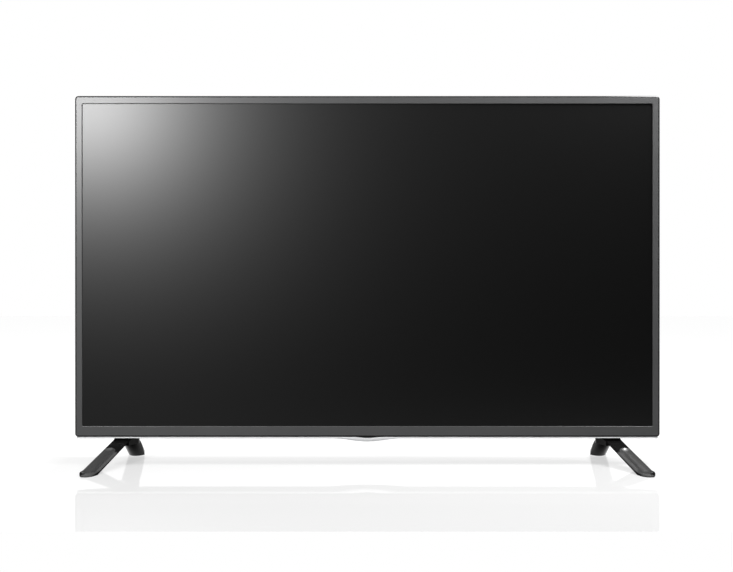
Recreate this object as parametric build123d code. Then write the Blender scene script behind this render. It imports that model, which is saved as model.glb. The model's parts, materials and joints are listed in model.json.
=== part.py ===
from build123d import *
import math
import os

# Flat screen television on two splayed feet, in millimetres.
# +X is to the right seen from the front, the screen faces -Y, +Z is up and the floor is Z = 0.
# The origin is on the floor, midway between the feet and midway between their front and rear tips.

os.makedirs("parts", exist_ok=True)

# Whole set
body_width = 1106.0
body_height = 645.0
body_depth = 57.0
floor_gap = 53.2
front_y = -2.0
seam = 0.2
play = 0.3
overrun = 5.0

# Front bezel
bezel_side = 13.3
bezel_top = 14.0
bezel_bottom = 21.4
bezel_depth = 13.0
bezel_wall = 2.2
bezel_corner = 6.5
bezel_edge = 3.0
bezel_window_corner = 2.0
bezel_lip = 0.9
badge_dip = 1.7
badge_dip_width = 60.0

# Clear strip under the bezel, with its dip in the middle
strip_height = 3.4
strip_depth = 11.0
strip_end_gap = 4.0
strip_dip = 6.2
strip_dip_width = 136.0
strip_steps = 12

# Display stack, front to back
cell_thick = 1.8
cell_overlap = 3.0
guide_wall = 2.4
guide_depth = 12.0
film_thick = 0.5
plate_thick = 1.5
stack_gap = 0.1
buffer_length = 30.0
buffer_shares = (0.15, 0.5, 0.85)

# Chassis tray and light
chassis_wall = 0.8
chassis_rear = 30.0
chassis_slope = 44.0
reflector_thick = 0.4
light_rows = 4
lights_per_bar = 5
light_bar_height = 16.0
light_bar_thick = 1.2
light_bar_length = 440.0
light_row_pitch = 138.0
lens_radius = 8.0
lens_height = 5.5
rib_height = 1.6
rib_width = 14.0
rib_count = 5

# Rear cover
cover_wall = 2.2
cover_inset = 1.5
cover_low_gap = 2.7
cover_rim = 4.0
cover_side_depth = 36.0
cover_side_in = 53.0
cover_full_in = 150.0
cover_hump_top = 510.0
cover_hump_slope = 45.0
cover_upper_depth = 38.0
cover_shoulder = 50.0
cover_under_chamfer = 10.0
vent_count = 34
vent_width = 3.0
vent_height = 22.0
vent_pitch = 12.0
vent_low = 118.0
vent_high = 432.0

# Cover screws
screw_head_radius = 4.0
screw_head_height = 2.4
screw_radius = 1.9
screw_length = 7.6
screw_fit = 0.05
well_wall = 1.8
well_floor = 2.4

# Wall mount
mount_pitch_x = 300.0
mount_pitch_z = 300.0
mount_height = 330.0
mount_hole_radius = 3.0
mount_hole_depth = 14.0
bush_radius = 7.0

# Boards
board_thick = 1.6
board_lift = 6.0
main_board_size = (200.0, 180.0)
main_board_inset = 288.0
power_board_size = (230.0, 170.0)
power_board_inset = 328.0
board_height = 290.0
timing_board_size = (150.0, 36.0)
timing_board_height = 410.0
source_board_size = (250.0, 14.0)
source_flex_count = 6
source_flex_width = 32.0
source_flex_thick = 0.3
standoff_radius = 3.5
standoff_hole_radius = 1.5

# Socket bays in the rear cover
bay_wall = 2.0
bay_depth = 24.0
side_bay_size = (70.0, 170.0)
low_bay_size = (150.0, 52.0)
inlet_bay_size = (62.0, 60.0)

# Speakers
speaker_size = (170.0, 19.0, 28.0)
speaker_foot_gap = 162.0
speaker_cone_radius = 8.0
speaker_cone_depth = 5.0
speaker_slot_count = 12
speaker_slot_width = 2.5
speaker_slot_pitch = 10.0
gasket_thick = 1.0

# Button under the middle of the set
pivot_height = 62.0
pivot_y = 30.0
cap_radius = 9.0
cap_thick = 2.4
cap_gap = 2.6
neck_radius = 2.8
stem_radius = 1.5
stem_fit = 0.05
press_travel = 0.6
gimbal_outer = 6.2
gimbal_inner = 4.4
gimbal_height = 3.0
trunnion_radius = 0.8
trunnion_fit = 0.04
button_hole_radius = 6.0
button_recess_radius = 12.0
button_board_size = (30.0, 20.0)
stem_boss_radius = 3.0

# Feet
foot_inset = 91.0
foot_front_reach = 120.5
foot_rear_reach = 120.5
foot_top_width = 46.0
foot_tip_width = 27.0
foot_rear_width = 33.0
foot_splay = 43.0
foot_rear_shift = 0.5
foot_top_front = 11.6
foot_top_rear = 34.0
foot_tip_height = 3.4
foot_knee_height = 8.0
foot_knee_length = 29.0
foot_rear_height = 7.0
foot_front_sole = 58.5
foot_rear_sole = 22.5
foot_arch_height = 36.0
foot_hub_front = 6.0
foot_arch_lead = 6.0
foot_hub_inner = 12.0
foot_hub_outer = 20.0
foot_keel_radius = 19.0
foot_keel_shift = 2.0
foot_under_gap = 26.4
foot_under_direction = (0.728, 0.048, -0.685)
foot_corner = 9.0
foot_edge = 4.0
foot_round = 3.0
foot_pad_thick = 1.5
tang_size = (26.0, 18.0, 25.0)
tang_front = 14.0
foot_bracket_thick = 1.5
foot_screw_radius = 2.0
foot_screw_length = 12.0
foot_screw_spread = 8.0
dish_radius = 24.0
dish_depth = 3.0
dish_shift = 2.5
dish_thick = 1.0
foot_upright_share = 0.02
pad_splay_share = 0.82
dish_low_share = 0.2
dish_high_share = 0.66

# Levels and planes worked out from the sizes above
half_width = body_width / 2
main_board_centre = (half_width - main_board_inset, board_height)
power_board_centre = (power_board_inset - half_width, board_height)
foot_centre_x = half_width - foot_inset
foot_arch_front = foot_front_sole - foot_front_reach
foot_arch_rear = foot_rear_reach - foot_rear_sole
speaker_centre_x = foot_centre_x - speaker_foot_gap
bezel_low = floor_gap
bezel_high = floor_gap + body_height
rear_y = front_y + body_depth
cover_front_y = front_y + bezel_depth + seam
cover_low = bezel_low - cover_low_gap
cover_high = bezel_high - cover_inset
window_left = -half_width + bezel_side
window_right = half_width - bezel_side
window_low = bezel_low + bezel_bottom
window_high = bezel_high - bezel_top
cell_front_y = front_y + bezel_wall + play
cell_rear_y = cell_front_y + cell_thick
film_front_y = cell_rear_y + stack_gap
plate_front_y = film_front_y + film_thick + stack_gap
tray_front_y = plate_front_y + plate_thick + stack_gap
chassis_back_y = front_y + chassis_rear
board_front_y = chassis_back_y + board_lift
board_back_y = board_front_y + board_thick
cover_inner_y = rear_y - cover_wall


def save(node, shape):
    """Write one sub-part to its own file."""
    export_step(shape, f"parts/{node}.step")


def block(x0, x1, y0, y1, z0, z1):
    """A box from one corner to the other."""
    centre = Pos((x0 + x1) / 2, (y0 + y1) / 2, (z0 + z1) / 2)
    return centre * Box(x1 - x0, y1 - y0, z1 - z0)


def rod_y(x, z, radius, y0, y1):
    """A round bar along Y."""
    turned = Pos(x, (y0 + y1) / 2, z) * Rot(90, 0, 0)
    return turned * Cylinder(radius, y1 - y0)


def rod_z(x, y, radius, z0, z1):
    """A round bar along Z."""
    return Pos(x, y, (z0 + z1) / 2) * Cylinder(radius, z1 - z0)


def rod_x(y, z, radius, x0, x1):
    """A round bar along X."""
    turned = Pos((x0 + x1) / 2, y, z) * Rot(0, 90, 0)
    return turned * Cylinder(radius, x1 - x0)


def group(pieces):
    """Separate solids kept in one node."""
    return Compound(children=[solid for piece in pieces for solid in piece.solids()])


def cut_all(shape, tools):
    """Take every tool out of the shape at once."""
    return shape.cut(*tools) if tools else shape


def rounded_slab(x0, x1, z0, z1, corner, y0, y1):
    """A slab that faces -Y, with four rounded corners."""
    plane = Plane(origin=((x0 + x1) / 2, y0, (z0 + z1) / 2), x_dir=(1, 0, 0), z_dir=(0, 1, 0))
    return extrude(plane * RectangleRounded(x1 - x0, z1 - z0, corner), amount=y1 - y0)


# Front


def lens_segment(width, sag, top_z, y0, y1):
    """A shallow segment of a circle that hangs below top_z in the middle of the set."""
    radius = (width * width / 4 + sag * sag) / (sag + sag)
    disc = rod_y(0, top_z - sag + radius, radius, y0, y1)
    keep = block(-width, width, y0, y1, top_z - sag, top_z)
    return disc & keep


def make_front_bezel():
    """One moulded frame: a front wall with a rounded edge, and side walls behind it."""
    body = rounded_slab(-half_width, half_width, bezel_low, bezel_high, bezel_corner,
                        front_y, front_y + bezel_depth)
    front_rim = body.faces().sort_by(Axis.Y)[0].outer_wire().edges()
    body = fillet(front_rim, bezel_edge)
    cavity = rounded_slab(-half_width + bezel_wall, half_width - bezel_wall, bezel_low + bezel_wall,
                          bezel_high - bezel_wall, bezel_corner - bezel_wall,
                          front_y + bezel_wall, front_y + bezel_depth + overrun)
    window = rounded_slab(window_left, window_right, window_low, window_high, bezel_window_corner,
                          front_y - overrun, front_y + bezel_depth)
    body = body - cavity - window
    lip = body.faces().sort_by(Axis.Y)[0].inner_wires()[0].edges()
    body = chamfer(lip, bezel_lip)
    return body + lens_segment(badge_dip_width, badge_dip, bezel_low, front_y + bezel_edge,
                               front_y + bezel_depth)


def strip_outline(shoulder):
    """Half the strip's lower edge from the middle out, as points on a smooth cosine dip."""
    low = bezel_low - strip_height
    points = []
    for step in range(strip_steps + 1):
        share = step / strip_steps
        x = shoulder * share
        points.append((x, low - strip_dip * (1 + math.cos(math.pi * share)) / 2))
    return points


def make_clear_strip():
    """A clear bar along the bezel's foot, dipping smoothly in the middle."""
    half_dip = strip_dip_width / 2
    end_x = half_width - strip_end_gap
    low = bezel_low - strip_height
    y0 = front_y + bezel_edge
    right = strip_outline(half_dip)
    curve = Spline(*[(x, y0, z) for x, z in reversed(right)],
                   *[(-x, y0, z) for x, z in right[1:]])
    top = bezel_low
    rest = Polyline((-half_dip, y0, low), (-end_x, y0, low), (-end_x, y0, top),
                    (end_x, y0, top), (end_x, y0, low), (half_dip, y0, low))
    bar = extrude(make_face(Wire([*curve.edges(), *rest.edges()])), amount=strip_depth - bezel_edge,
                  dir=(0, 1, 0))
    seat = lens_segment(badge_dip_width + seam, badge_dip + seam, bezel_low, y0 - overrun,
                        y0 + strip_depth)
    return bar - seat


def make_remote_window():
    """The dark window for the remote's receiver, let into the clear strip's rear face."""
    width = cap_radius + cap_radius
    y0 = front_y + strip_depth + seam
    return block(-width, width, y0, cover_front_y - seam, bezel_low - strip_height,
                 bezel_low - badge_dip - seam)


# Display


def stack_edges(overlap):
    """The sides of a sheet that reaches past the bezel's window by overlap."""
    return (window_left - overlap, window_right + overlap, window_low - overlap,
            window_high + overlap)


def sheet(overlap, y0, y1):
    """A plain flat sheet of the display stack."""
    x0, x1, z0, z1 = stack_edges(overlap)
    return block(x0, x1, y0, y1, z0, z1)


def make_guide_frame():
    """The black frame that holds the cell in front and the sheets behind it."""
    x0, x1, z0, z1 = stack_edges(cell_overlap + play + guide_wall)
    outer = block(x0, x1, cell_front_y, cell_front_y + guide_depth, z0, z1)
    x0, x1, z0, z1 = stack_edges(cell_overlap + play)
    pocket = block(x0, x1, cell_front_y - overrun, cell_front_y + guide_depth + overrun, z0, z1)
    return outer - pocket


def make_buffers():
    """Rubber buffers between the guide frame and the cell's edge, on the lower and upper sides."""
    x0, x1, z0, z1 = stack_edges(cell_overlap)
    spots = [x0 + (x1 - x0) * share for share in buffer_shares]
    pads = []
    for x in spots:
        for z_low, z_high in ((z0 - play, z0), (z1, z1 + play)):
            pads.append(block(x - buffer_length / 2, x + buffer_length / 2, cell_front_y,
                              cell_rear_y, z_low, z_high))
    return group(pads)


def tray(inset, front, back, wall):
    """A tray with sloping sides: a loft from a wide mouth to a smaller floor, hollowed."""
    x0, x1, z0, z1 = stack_edges(cell_overlap - inset)
    centre_x = (x0 + x1) / 2
    centre_z = (z0 + z1) / 2

    def solid(thin, y0, y1):
        mouth = Plane(origin=(centre_x, y0, centre_z), x_dir=(1, 0, 0), z_dir=(0, 1, 0))
        floor = Plane(origin=(centre_x, y1, centre_z), x_dir=(1, 0, 0), z_dir=(0, 1, 0))
        wide = mouth * Rectangle(x1 - x0 - thin - thin, z1 - z0 - thin - thin)
        drop = chassis_slope + chassis_slope + thin + thin
        small = floor * Rectangle(x1 - x0 - drop, z1 - z0 - drop)
        return loft([wide.face(), small.face()])

    return solid(0, front, back) - solid(wall, front, back - wall)


def mount_spots():
    """Where the four wall mount bushes stand, in X and Z."""
    return [(sx * mount_pitch_x / 2, mount_height + sz * mount_pitch_z / 2)
            for sx in (-1, 1) for sz in (-1, 1)]


def cover_screw_spots():
    """Where the rear cover's screws go into the chassis."""
    wide = half_width - cover_full_in - overrun
    low = cover_low + chassis_slope + cover_full_in / 3
    high = cover_hump_top - cover_hump_slope / 2
    return [(-wide, low), (0, low), (wide, low), (-wide, high), (-wide / 3, high),
            (wide / 3, high), (wide, high)]


def board_corners(size, centre):
    """The four corner hole spots of a board."""
    edge = standoff_radius + seam
    return [(centre[0] + sx * (size[0] / 2 - edge), centre[1] + sz * (size[1] / 2 - edge))
            for sx in (-1, 1) for sz in (-1, 1)]


def board_list():
    """Each board on the chassis, by its size and centre."""
    timing_centre = (0, timing_board_height)
    return [(main_board_size, main_board_centre), (power_board_size, power_board_centre),
            (timing_board_size, timing_centre)]


def make_back_chassis():
    """The pressed steel tray behind the light, with ribs, board standoffs and tapped holes."""
    body = tray(0, tray_front_y, chassis_back_y, chassis_wall)
    x0, x1, z0, z1 = stack_edges(cell_overlap - chassis_slope)
    ribs = []
    for index in range(rib_count):
        x = x0 + (x1 - x0) * (index + 1) / (rib_count + 1)
        ribs.append(block(x - rib_width / 2, x + rib_width / 2, chassis_back_y,
                          chassis_back_y + rib_height, cover_hump_top, z1 - rib_width))
    stands = []
    holes = []
    for size, centre in board_list():
        for x, z in board_corners(size, centre):
            stands.append(rod_y(x, z, standoff_radius, chassis_back_y, board_front_y))
            holes.append(rod_y(x, z, standoff_hole_radius + screw_fit, chassis_back_y - overrun,
                               board_front_y + overrun))
    for x, z in cover_screw_spots():
        stands.append(rod_y(x, z, screw_head_radius, chassis_back_y, board_front_y))
        holes.append(rod_y(x, z, screw_radius + screw_fit, chassis_back_y, board_front_y + overrun))
    return cut_all(body.fuse(*ribs, *stands), holes)


def make_reflector():
    """The white sheet that lines the tray."""
    body = tray(chassis_wall + seam, tray_front_y, chassis_back_y - chassis_wall - seam,
                reflector_thick)
    return body


def light_spots():
    """The middle of every light bar, in X and Z."""
    middle_z = (window_low + window_high) / 2
    spots = []
    for row in range(light_rows):
        z = middle_z + (row - (light_rows - 1) / 2) * light_row_pitch
        for side in (-1, 1):
            spots.append((side * (light_bar_length / 2 + light_bar_height / 2), z))
    return spots


def make_light_bars():
    """Two light bars in each row, left and right."""
    y1 = chassis_back_y - chassis_wall - seam - reflector_thick - seam
    return group([block(x - light_bar_length / 2, x + light_bar_length / 2, y1 - light_bar_thick, y1,
                        z - light_bar_height / 2, z + light_bar_height / 2)
                  for x, z in light_spots()])


def make_light_lenses():
    """The round lens over each lamp."""
    y1 = chassis_back_y - chassis_wall - seam - reflector_thick - seam - light_bar_thick
    pitch = light_bar_length / lights_per_bar
    lenses = []
    for x, z in light_spots():
        for index in range(lights_per_bar):
            lamp_x = x + (index - (lights_per_bar - 1) / 2) * pitch
            lens = rod_y(lamp_x, z, lens_radius, y1 - lens_height, y1)
            lenses.append(chamfer(lens.faces().sort_by(Axis.Y)[0].edges(), lens_height / 2))
    return group(lenses)


# Rear cover


def cover_solid(shrink):
    """The cover's outer form, or its inner form when shrink is the wall."""
    edge = half_width - cover_inset - shrink
    side_x = half_width - cover_side_in - shrink
    full_x = half_width - cover_full_in - shrink
    front = cover_front_y
    rim_y = front + cover_rim - shrink
    side_y = front_y + cover_side_depth - shrink
    back = rear_y - shrink
    low = cover_low + shrink
    high = cover_high - shrink
    right = [(edge, front), (edge, rim_y), (side_x, side_y), (full_x, back)]
    plan = right + [(-x, y) for x, y in reversed(right)]
    plan_wire = Polyline(*[(x, y, low) for x, y in plan], close=True)
    across = extrude(make_face(plan_wire), amount=high - low, dir=(0, 0, 1))
    upper_y = front_y + cover_upper_depth - shrink
    hump_low = cover_hump_top
    hump_high = cover_hump_top + cover_hump_slope
    side = [(front, low), (back - cover_under_chamfer / 2, low), (back, low + cover_under_chamfer),
            (back, hump_low - shrink), (upper_y, hump_high - shrink),
            (upper_y, high - cover_shoulder), (rim_y, high), (front, high)]
    side_wire = Polyline(*[(-edge, y, z) for y, z in side], close=True)
    along = extrude(make_face(side_wire), amount=edge + edge, dir=(1, 0, 0))
    return across & along


def side_bay_box():
    """The inside of the bay for the sockets that face the side: low and high corners."""
    x0 = main_board_centre[0] + main_board_size[0] / 2 + bay_wall + seam
    z0 = main_board_centre[1] - side_bay_size[1] / 2
    return (x0, x0 + side_bay_size[0], z0, z0 + side_bay_size[1])


def low_bay_box():
    """The inside of the bay for the sockets that face down."""
    x0 = main_board_centre[0] - low_bay_size[0] / 2
    z1 = main_board_centre[1] - main_board_size[1] / 2 - bay_wall - seam
    return (x0, x0 + low_bay_size[0], z1 - low_bay_size[1], z1)


def inlet_bay_box():
    """The inside of the bay for the mains inlet."""
    x1 = power_board_centre[0] - power_board_size[0] / 2 - bay_wall - seam
    z0 = power_board_centre[1] - inlet_bay_size[1] / 2
    return (x1 - inlet_bay_size[0], x1, z0, z0 + inlet_bay_size[1])


def bay_boxes():
    """The insides of all three socket bays."""
    return [side_bay_box(), low_bay_box(), inlet_bay_box()]


def bay_front_y():
    """The bays' floor."""
    return rear_y - bay_depth


def vents(x_middle, z0, count):
    """A row of upright vent slots."""
    slots = []
    for index in range(count):
        x = x_middle + (index - (count - 1) / 2) * vent_pitch
        slots.append(block(x - vent_width / 2, x + vent_width / 2, cover_inner_y - overrun,
                           rear_y + overrun, z0 - vent_height / 2, z0 + vent_height / 2))
    return slots


def speaker_slots(side):
    """The slots under one speaker."""
    slots = []
    y0, y1 = speaker_y()
    for index in range(speaker_slot_count):
        x = side * speaker_centre_x
        x += (index - (speaker_slot_count - 1) / 2) * speaker_slot_pitch
        slots.append(block(x - speaker_slot_width / 2, x + speaker_slot_width / 2,
                           y0 + speaker_slot_width, y1 - speaker_slot_width,
                           cover_low - overrun, cover_low + cover_wall + overrun))
    return slots


def speaker_y():
    """The speakers' front and rear planes."""
    y1 = cover_inner_y - cover_under_chamfer / 2
    return (y1 - speaker_size[1], y1)


def make_rear_cover():
    """The moulded shell behind the set, with its bays, vents, screw wells and bolt holes."""
    outer = cover_solid(0)
    body = outer - cover_solid(cover_wall)
    adds = []
    cuts = []
    for x0, x1, z0, z1 in bay_boxes():
        hole_edge = bay_wall + seam
        cuts.append(block(x0 - hole_edge, x1 + hole_edge, bay_front_y() - hole_edge,
                          rear_y + overrun, z0 - hole_edge, z1 + hole_edge))
    for x, z in cover_screw_spots():
        well = rod_y(x, z, screw_head_radius + seam + well_wall, board_front_y + seam,
                     rear_y - cover_wall / 2)
        adds.append(well & outer)
        cuts.append(rod_y(x, z, screw_head_radius + seam, board_front_y + seam + well_floor,
                          rear_y + overrun))
        cuts.append(rod_y(x, z, screw_radius + seam, board_front_y, rear_y))
    for x, z in mount_spots():
        cuts.append(rod_y(x, z, bush_radius + play, chassis_back_y, rear_y + overrun))
    middle = (main_board_centre[0] + power_board_centre[0]) / 2
    cuts += vents(middle, vent_high, vent_count)
    cuts += vents(power_board_centre[0], vent_low, vent_count // 3)
    cuts += speaker_slots(-1) + speaker_slots(1)
    bulge = lens_segment(strip_dip_width, strip_dip / 2, cover_low, cover_front_y, cover_inner_y)
    adds.append(bulge)
    cuts.append(rod_z(0, pivot_y, button_recess_radius, cover_low - strip_dip,
                      cover_low))
    cuts.append(rod_z(0, pivot_y, button_hole_radius, cover_low - strip_dip,
                      cover_low + cover_wall + overrun))
    for side in (-1, 1):
        x = side * foot_centre_x
        cuts.append(block(x - tang_size[0] / 2 - play, x + tang_size[0] / 2 + play,
                          tang_front - play, tang_front + tang_size[1] + play,
                          cover_low - overrun, cover_low + cover_wall + overrun))
        for screw_x, screw_z in foot_screw_spots(side):
            cuts.append(rod_y(screw_x, screw_z, screw_head_radius + play, tang_front + tang_size[1],
                              rear_y + overrun))
    return cut_all(body.fuse(*adds), cuts)


def make_socket_bays():
    """The three moulded tubs that are let into the cover round the sockets."""
    tubs = []
    outer = cover_solid(0)
    holes = socket_holes()
    for x0, x1, z0, z1 in bay_boxes():
        tub = block(x0 - bay_wall, x1 + bay_wall, bay_front_y() - bay_wall, rear_y,
                    z0 - bay_wall, z1 + bay_wall)
        inside = block(x0, x1, bay_front_y(), rear_y + overrun, z0, z1)
        tubs.append(cut_all(tub & outer, [inside, *holes]))
    return group(tubs)


def make_cover_screws():
    """The screws that hold the rear cover to the chassis."""
    screws = []
    seat_y = board_front_y + seam + well_floor
    for x, z in cover_screw_spots():
        head = rod_y(x, z, screw_head_radius, seat_y, seat_y + screw_head_height)
        shank = rod_y(x, z, screw_radius, seat_y - screw_length, seat_y)
        screws.append(head + shank)
    return group(screws)


def make_wall_mount_bushes():
    """Four threaded bushes on the chassis, flush with the back of the cover."""
    bushes = []
    for x, z in mount_spots():
        bush = rod_y(x, z, bush_radius, chassis_back_y, rear_y)
        bushes.append(bush - rod_y(x, z, mount_hole_radius, rear_y - mount_hole_depth,
                                   rear_y + overrun))
    return group(bushes)


# Electronics


def board(size, centre):
    """A circuit board on the chassis standoffs, with its corner holes."""
    x, z = centre
    plate = block(x - size[0] / 2, x + size[0] / 2, board_front_y, board_back_y,
                  z - size[1] / 2, z + size[1] / 2)
    holes = [rod_y(hole_x, hole_z, standoff_hole_radius + screw_fit, board_front_y - overrun,
                   board_back_y + overrun) for hole_x, hole_z in board_corners(size, centre)]
    return cut_all(plate, holes)


def make_board_screws():
    """The small screws that hold the boards on their standoffs."""
    screws = []
    for size, centre in board_list():
        for x, z in board_corners(size, centre):
            head = rod_y(x, z, standoff_radius - seam, board_back_y, board_back_y + board_thick)
            shank = rod_y(x, z, standoff_hole_radius, board_back_y - board_lift, board_back_y)
            screws.append(head + shank)
    return group(screws)


def on_board(size, centre, shares, piece_size):
    """A component on the back of a board, placed by shares of the board's half sides."""
    x = centre[0] + shares[0] * size[0] / 2
    z = centre[1] + shares[1] * size[1] / 2
    return block(x - piece_size[0] / 2, x + piece_size[0] / 2, board_back_y,
                 board_back_y + piece_size[1], z - piece_size[2] / 2, z + piece_size[2] / 2)


chip_size = (14.0, 1.5, 14.0)
chip_shares = ((-0.55, 0.5), (-0.55, 0.15), (0.1, 0.72), (0.42, 0.72), (-0.2, -0.45), (-0.65, -0.5))
sink_size = (46.0, 3.0, 46.0)
sink_share = (0.0, 0.12)
sink_fin_height = 9.0
sink_fin_thick = 1.2
sink_fin_count = 8
transformer_size = (34.0, 12.0, 30.0)
transformer_shares = ((0.1, -0.35), (0.5, -0.35))
filter_size = (24.0, 12.0, 22.0)
filter_share = (-0.7, 0.4)
capacitor_radius = 5.0
capacitor_length = 22.0
capacitor_shares = ((-0.3, 0.62), (-0.3, 0.48), (-0.05, 0.62), (0.75, 0.2))
plate_sink_size = (3.0, 13.0, 80.0)
plate_sink_shares = ((-0.1, 0.0), (0.28, 0.25))
timing_chip_size = (16.0, 1.5, 16.0)
shield_wall = 0.6
shield_depth = 7.0
speaker_plug_size = (10.0, 6.0, 8.0)
plug_shares = ((-0.85, -0.75), (-0.85, 0.8), (-0.5, 0.9))


def make_board_chips():
    """The main board's memory and tuner chips, and the timing board's one chip."""
    chips = [on_board(main_board_size, main_board_centre, share, chip_size)
             for share in chip_shares]
    chips.append(on_board(timing_board_size, (0, timing_board_height), (0, 0), timing_chip_size))
    return group(chips)


def make_main_heat_sink():
    """The finned heat sink on the main processor."""
    base = on_board(main_board_size, main_board_centre, sink_share, sink_size)
    corner = base.bounding_box()
    pitch = (sink_size[0] - sink_fin_thick) / (sink_fin_count - 1)
    fins = []
    for index in range(sink_fin_count):
        x = corner.min.X + index * pitch
        fins.append(block(x, x + sink_fin_thick, corner.max.Y, corner.max.Y + sink_fin_height,
                          corner.min.Z, corner.max.Z))
    return base.fuse(*fins)


def make_board_plugs():
    """The wire-to-board connectors on the main board."""
    return group([on_board(main_board_size, main_board_centre, share, speaker_plug_size)
                  for share in plug_shares])


def make_power_transformers():
    """The power board's transformers and its mains filter."""
    pieces = [on_board(power_board_size, power_board_centre, share, transformer_size)
              for share in transformer_shares]
    pieces.append(on_board(power_board_size, power_board_centre, filter_share, filter_size))
    return group(pieces)


def make_power_capacitors():
    """The round capacitors that lie on the power board."""
    cans = []
    for share in capacitor_shares:
        x = power_board_centre[0] + share[0] * power_board_size[0] / 2
        z = power_board_centre[1] + share[1] * power_board_size[1] / 2
        cans.append(rod_x(board_back_y + capacitor_radius, z, capacitor_radius,
                          x - capacitor_length / 2, x + capacitor_length / 2))
    return group(cans)


def make_power_heat_sinks():
    """The upright plates that cool the power switches."""
    return group([on_board(power_board_size, power_board_centre, share, plate_sink_size)
                  for share in plate_sink_shares])


def make_timing_shield():
    """The pressed cover over the timing board."""
    x = timing_board_size[0] / 2 - standoff_radius * 3
    z = timing_board_size[1] / 2 - seam
    y1 = board_back_y + shield_depth
    low = timing_board_height - z
    high = timing_board_height + z
    shell = block(-x, x, board_back_y, y1, low, high)
    return shell - block(-x + shield_wall, x - shield_wall, board_back_y - overrun,
                         y1 - shield_wall, low + shield_wall, high - shield_wall)


def source_board_y():
    """The front and rear planes of the boards along the cell's lower edge."""
    y0 = cell_front_y + guide_depth + seam
    return (y0, y0 + board_thick)


def source_board_z():
    """The lower and upper edges of the boards along the cell's lower edge."""
    z0 = window_low - cell_overlap - play - guide_wall - seam - source_flex_thick
    return (z0 - seam, z0 - seam + source_board_size[1])


def make_source_boards():
    """The two long boards that drive the cell's columns."""
    y0, y1 = source_board_y()
    z0, z1 = source_board_z()
    half = source_board_size[0]
    gap = source_board_size[1]
    return group([block(min(side * gap, side * (gap + half)), max(side * gap, side * (gap + half)),
                        y0, y1, z0, z1) for side in (-1, 1)])


def make_source_flexes():
    """The thin flexes that run from the cell's front edge under the guide frame to the boards."""
    y0, _ = source_board_y()
    z_top = window_low - cell_overlap - play - guide_wall - seam
    flexes = []
    pitch = source_board_size[0] / (source_flex_count / 2)
    for side in (-1, 1):
        for index in range(source_flex_count // 2):
            x = side * (source_board_size[1] + pitch * (index + 1 / 2))
            flexes.append(block(x - source_flex_width / 2, x + source_flex_width / 2, cell_front_y,
                                y0 - seam, z_top - source_flex_thick, z_top))
    return group(flexes)


# Sockets: each is a shell with a mouth, named by what plugs in

socket_fit = 0.2
socket_wall = 0.6
socket_depth = 12.0
tongue_thick = 1.2
video_mouth = (14.2, 4.8)
data_mouth = (12.6, 5.2)
network_mouth = (12.0, 8.6)
optical_mouth = (9.8, 9.0)
aerial_radius = 4.7
aerial_core_radius = 1.4
aerial_length = 10.0
jack_radius = 4.4
jack_core_radius = 2.2
jack_length = 8.0
jack_pitch = 16.0
jack_count = 5
video_count = 2
video_pitch = 30.0
inlet_mouth = (17.0, 9.0)
inlet_pin_radius = 1.2
inlet_pin_spread = 4.3
inlet_depth = 14.0
video_share = 0.45
data_share = -0.55
aerial_share = 0.85
network_share = 0.5
optical_share = 0.24
jack_share = -0.4


def seat_y(mouth, wall):
    """The middle of a rectangular socket that stands on its board with its wall under the mouth."""
    return board_back_y + wall + mouth[1] / 2


def mouth_block(facing, x, z, middle_y, mouth, depth, wall):
    """The solid envelope of a socket that faces +X, -X or -Z from the bay wall."""
    half_long = mouth[0] / 2 + wall
    half_short = mouth[1] / 2 + wall
    y0 = middle_y - half_short
    y1 = middle_y + half_short
    if facing == "down":
        return block(x - half_long, x + half_long, y0, y1, z, z + depth)
    if facing == "left":
        return block(x, x + depth, y0, y1, z - half_long, z + half_long)
    return block(x - depth, x, y0, y1, z - half_long, z + half_long)


def square_socket(facing, x, z, mouth, tongue):
    """A rectangular socket: a shell, closed at its far end, with a tongue inside."""
    middle_y = seat_y(mouth, socket_wall)
    shell = mouth_block(facing, x, z, middle_y, mouth, socket_depth, socket_wall)
    hollow_depth = socket_depth - socket_wall
    hollow = mouth_block(facing, x, z, middle_y, mouth, hollow_depth, 0)
    body = shell - hollow
    if tongue:
        blade = (mouth[0] - mouth[1], tongue_thick)
        body = body + (mouth_block(facing, x, z, middle_y, blade, socket_depth, 0)
                       - mouth_block(facing, x, z, middle_y, mouth, socket_depth / 3, 0))
    return body


def video_spots():
    """The digital video sockets' places on the side bay's wall."""
    x0, _, z0, z1 = side_bay_box()
    middle = (z0 + z1) / 2 + video_share * (z1 - z0) / 2
    return [(x0, middle + (index - (video_count - 1) / 2) * video_pitch)
            for index in range(video_count)]


def data_spot():
    """The data socket's place on the side bay's wall."""
    x0, _, z0, z1 = side_bay_box()
    return (x0, (z0 + z1) / 2 + data_share * (z1 - z0) / 2)


def low_spot(share):
    """A place on the upper wall of the lower bay."""
    x0, x1, _, z1 = low_bay_box()
    return ((x0 + x1) / 2 + share * (x1 - x0) / 2, z1)


def jack_spots():
    """The round jacks' places on the upper wall of the lower bay."""
    x, z = low_spot(jack_share)
    return [(x + (index - (jack_count - 1) / 2) * jack_pitch, z) for index in range(jack_count)]


def inlet_spot():
    """The mains inlet's place on its bay's wall."""
    _, x1, z0, z1 = inlet_bay_box()
    return (x1, (z0 + z1) / 2)


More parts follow.
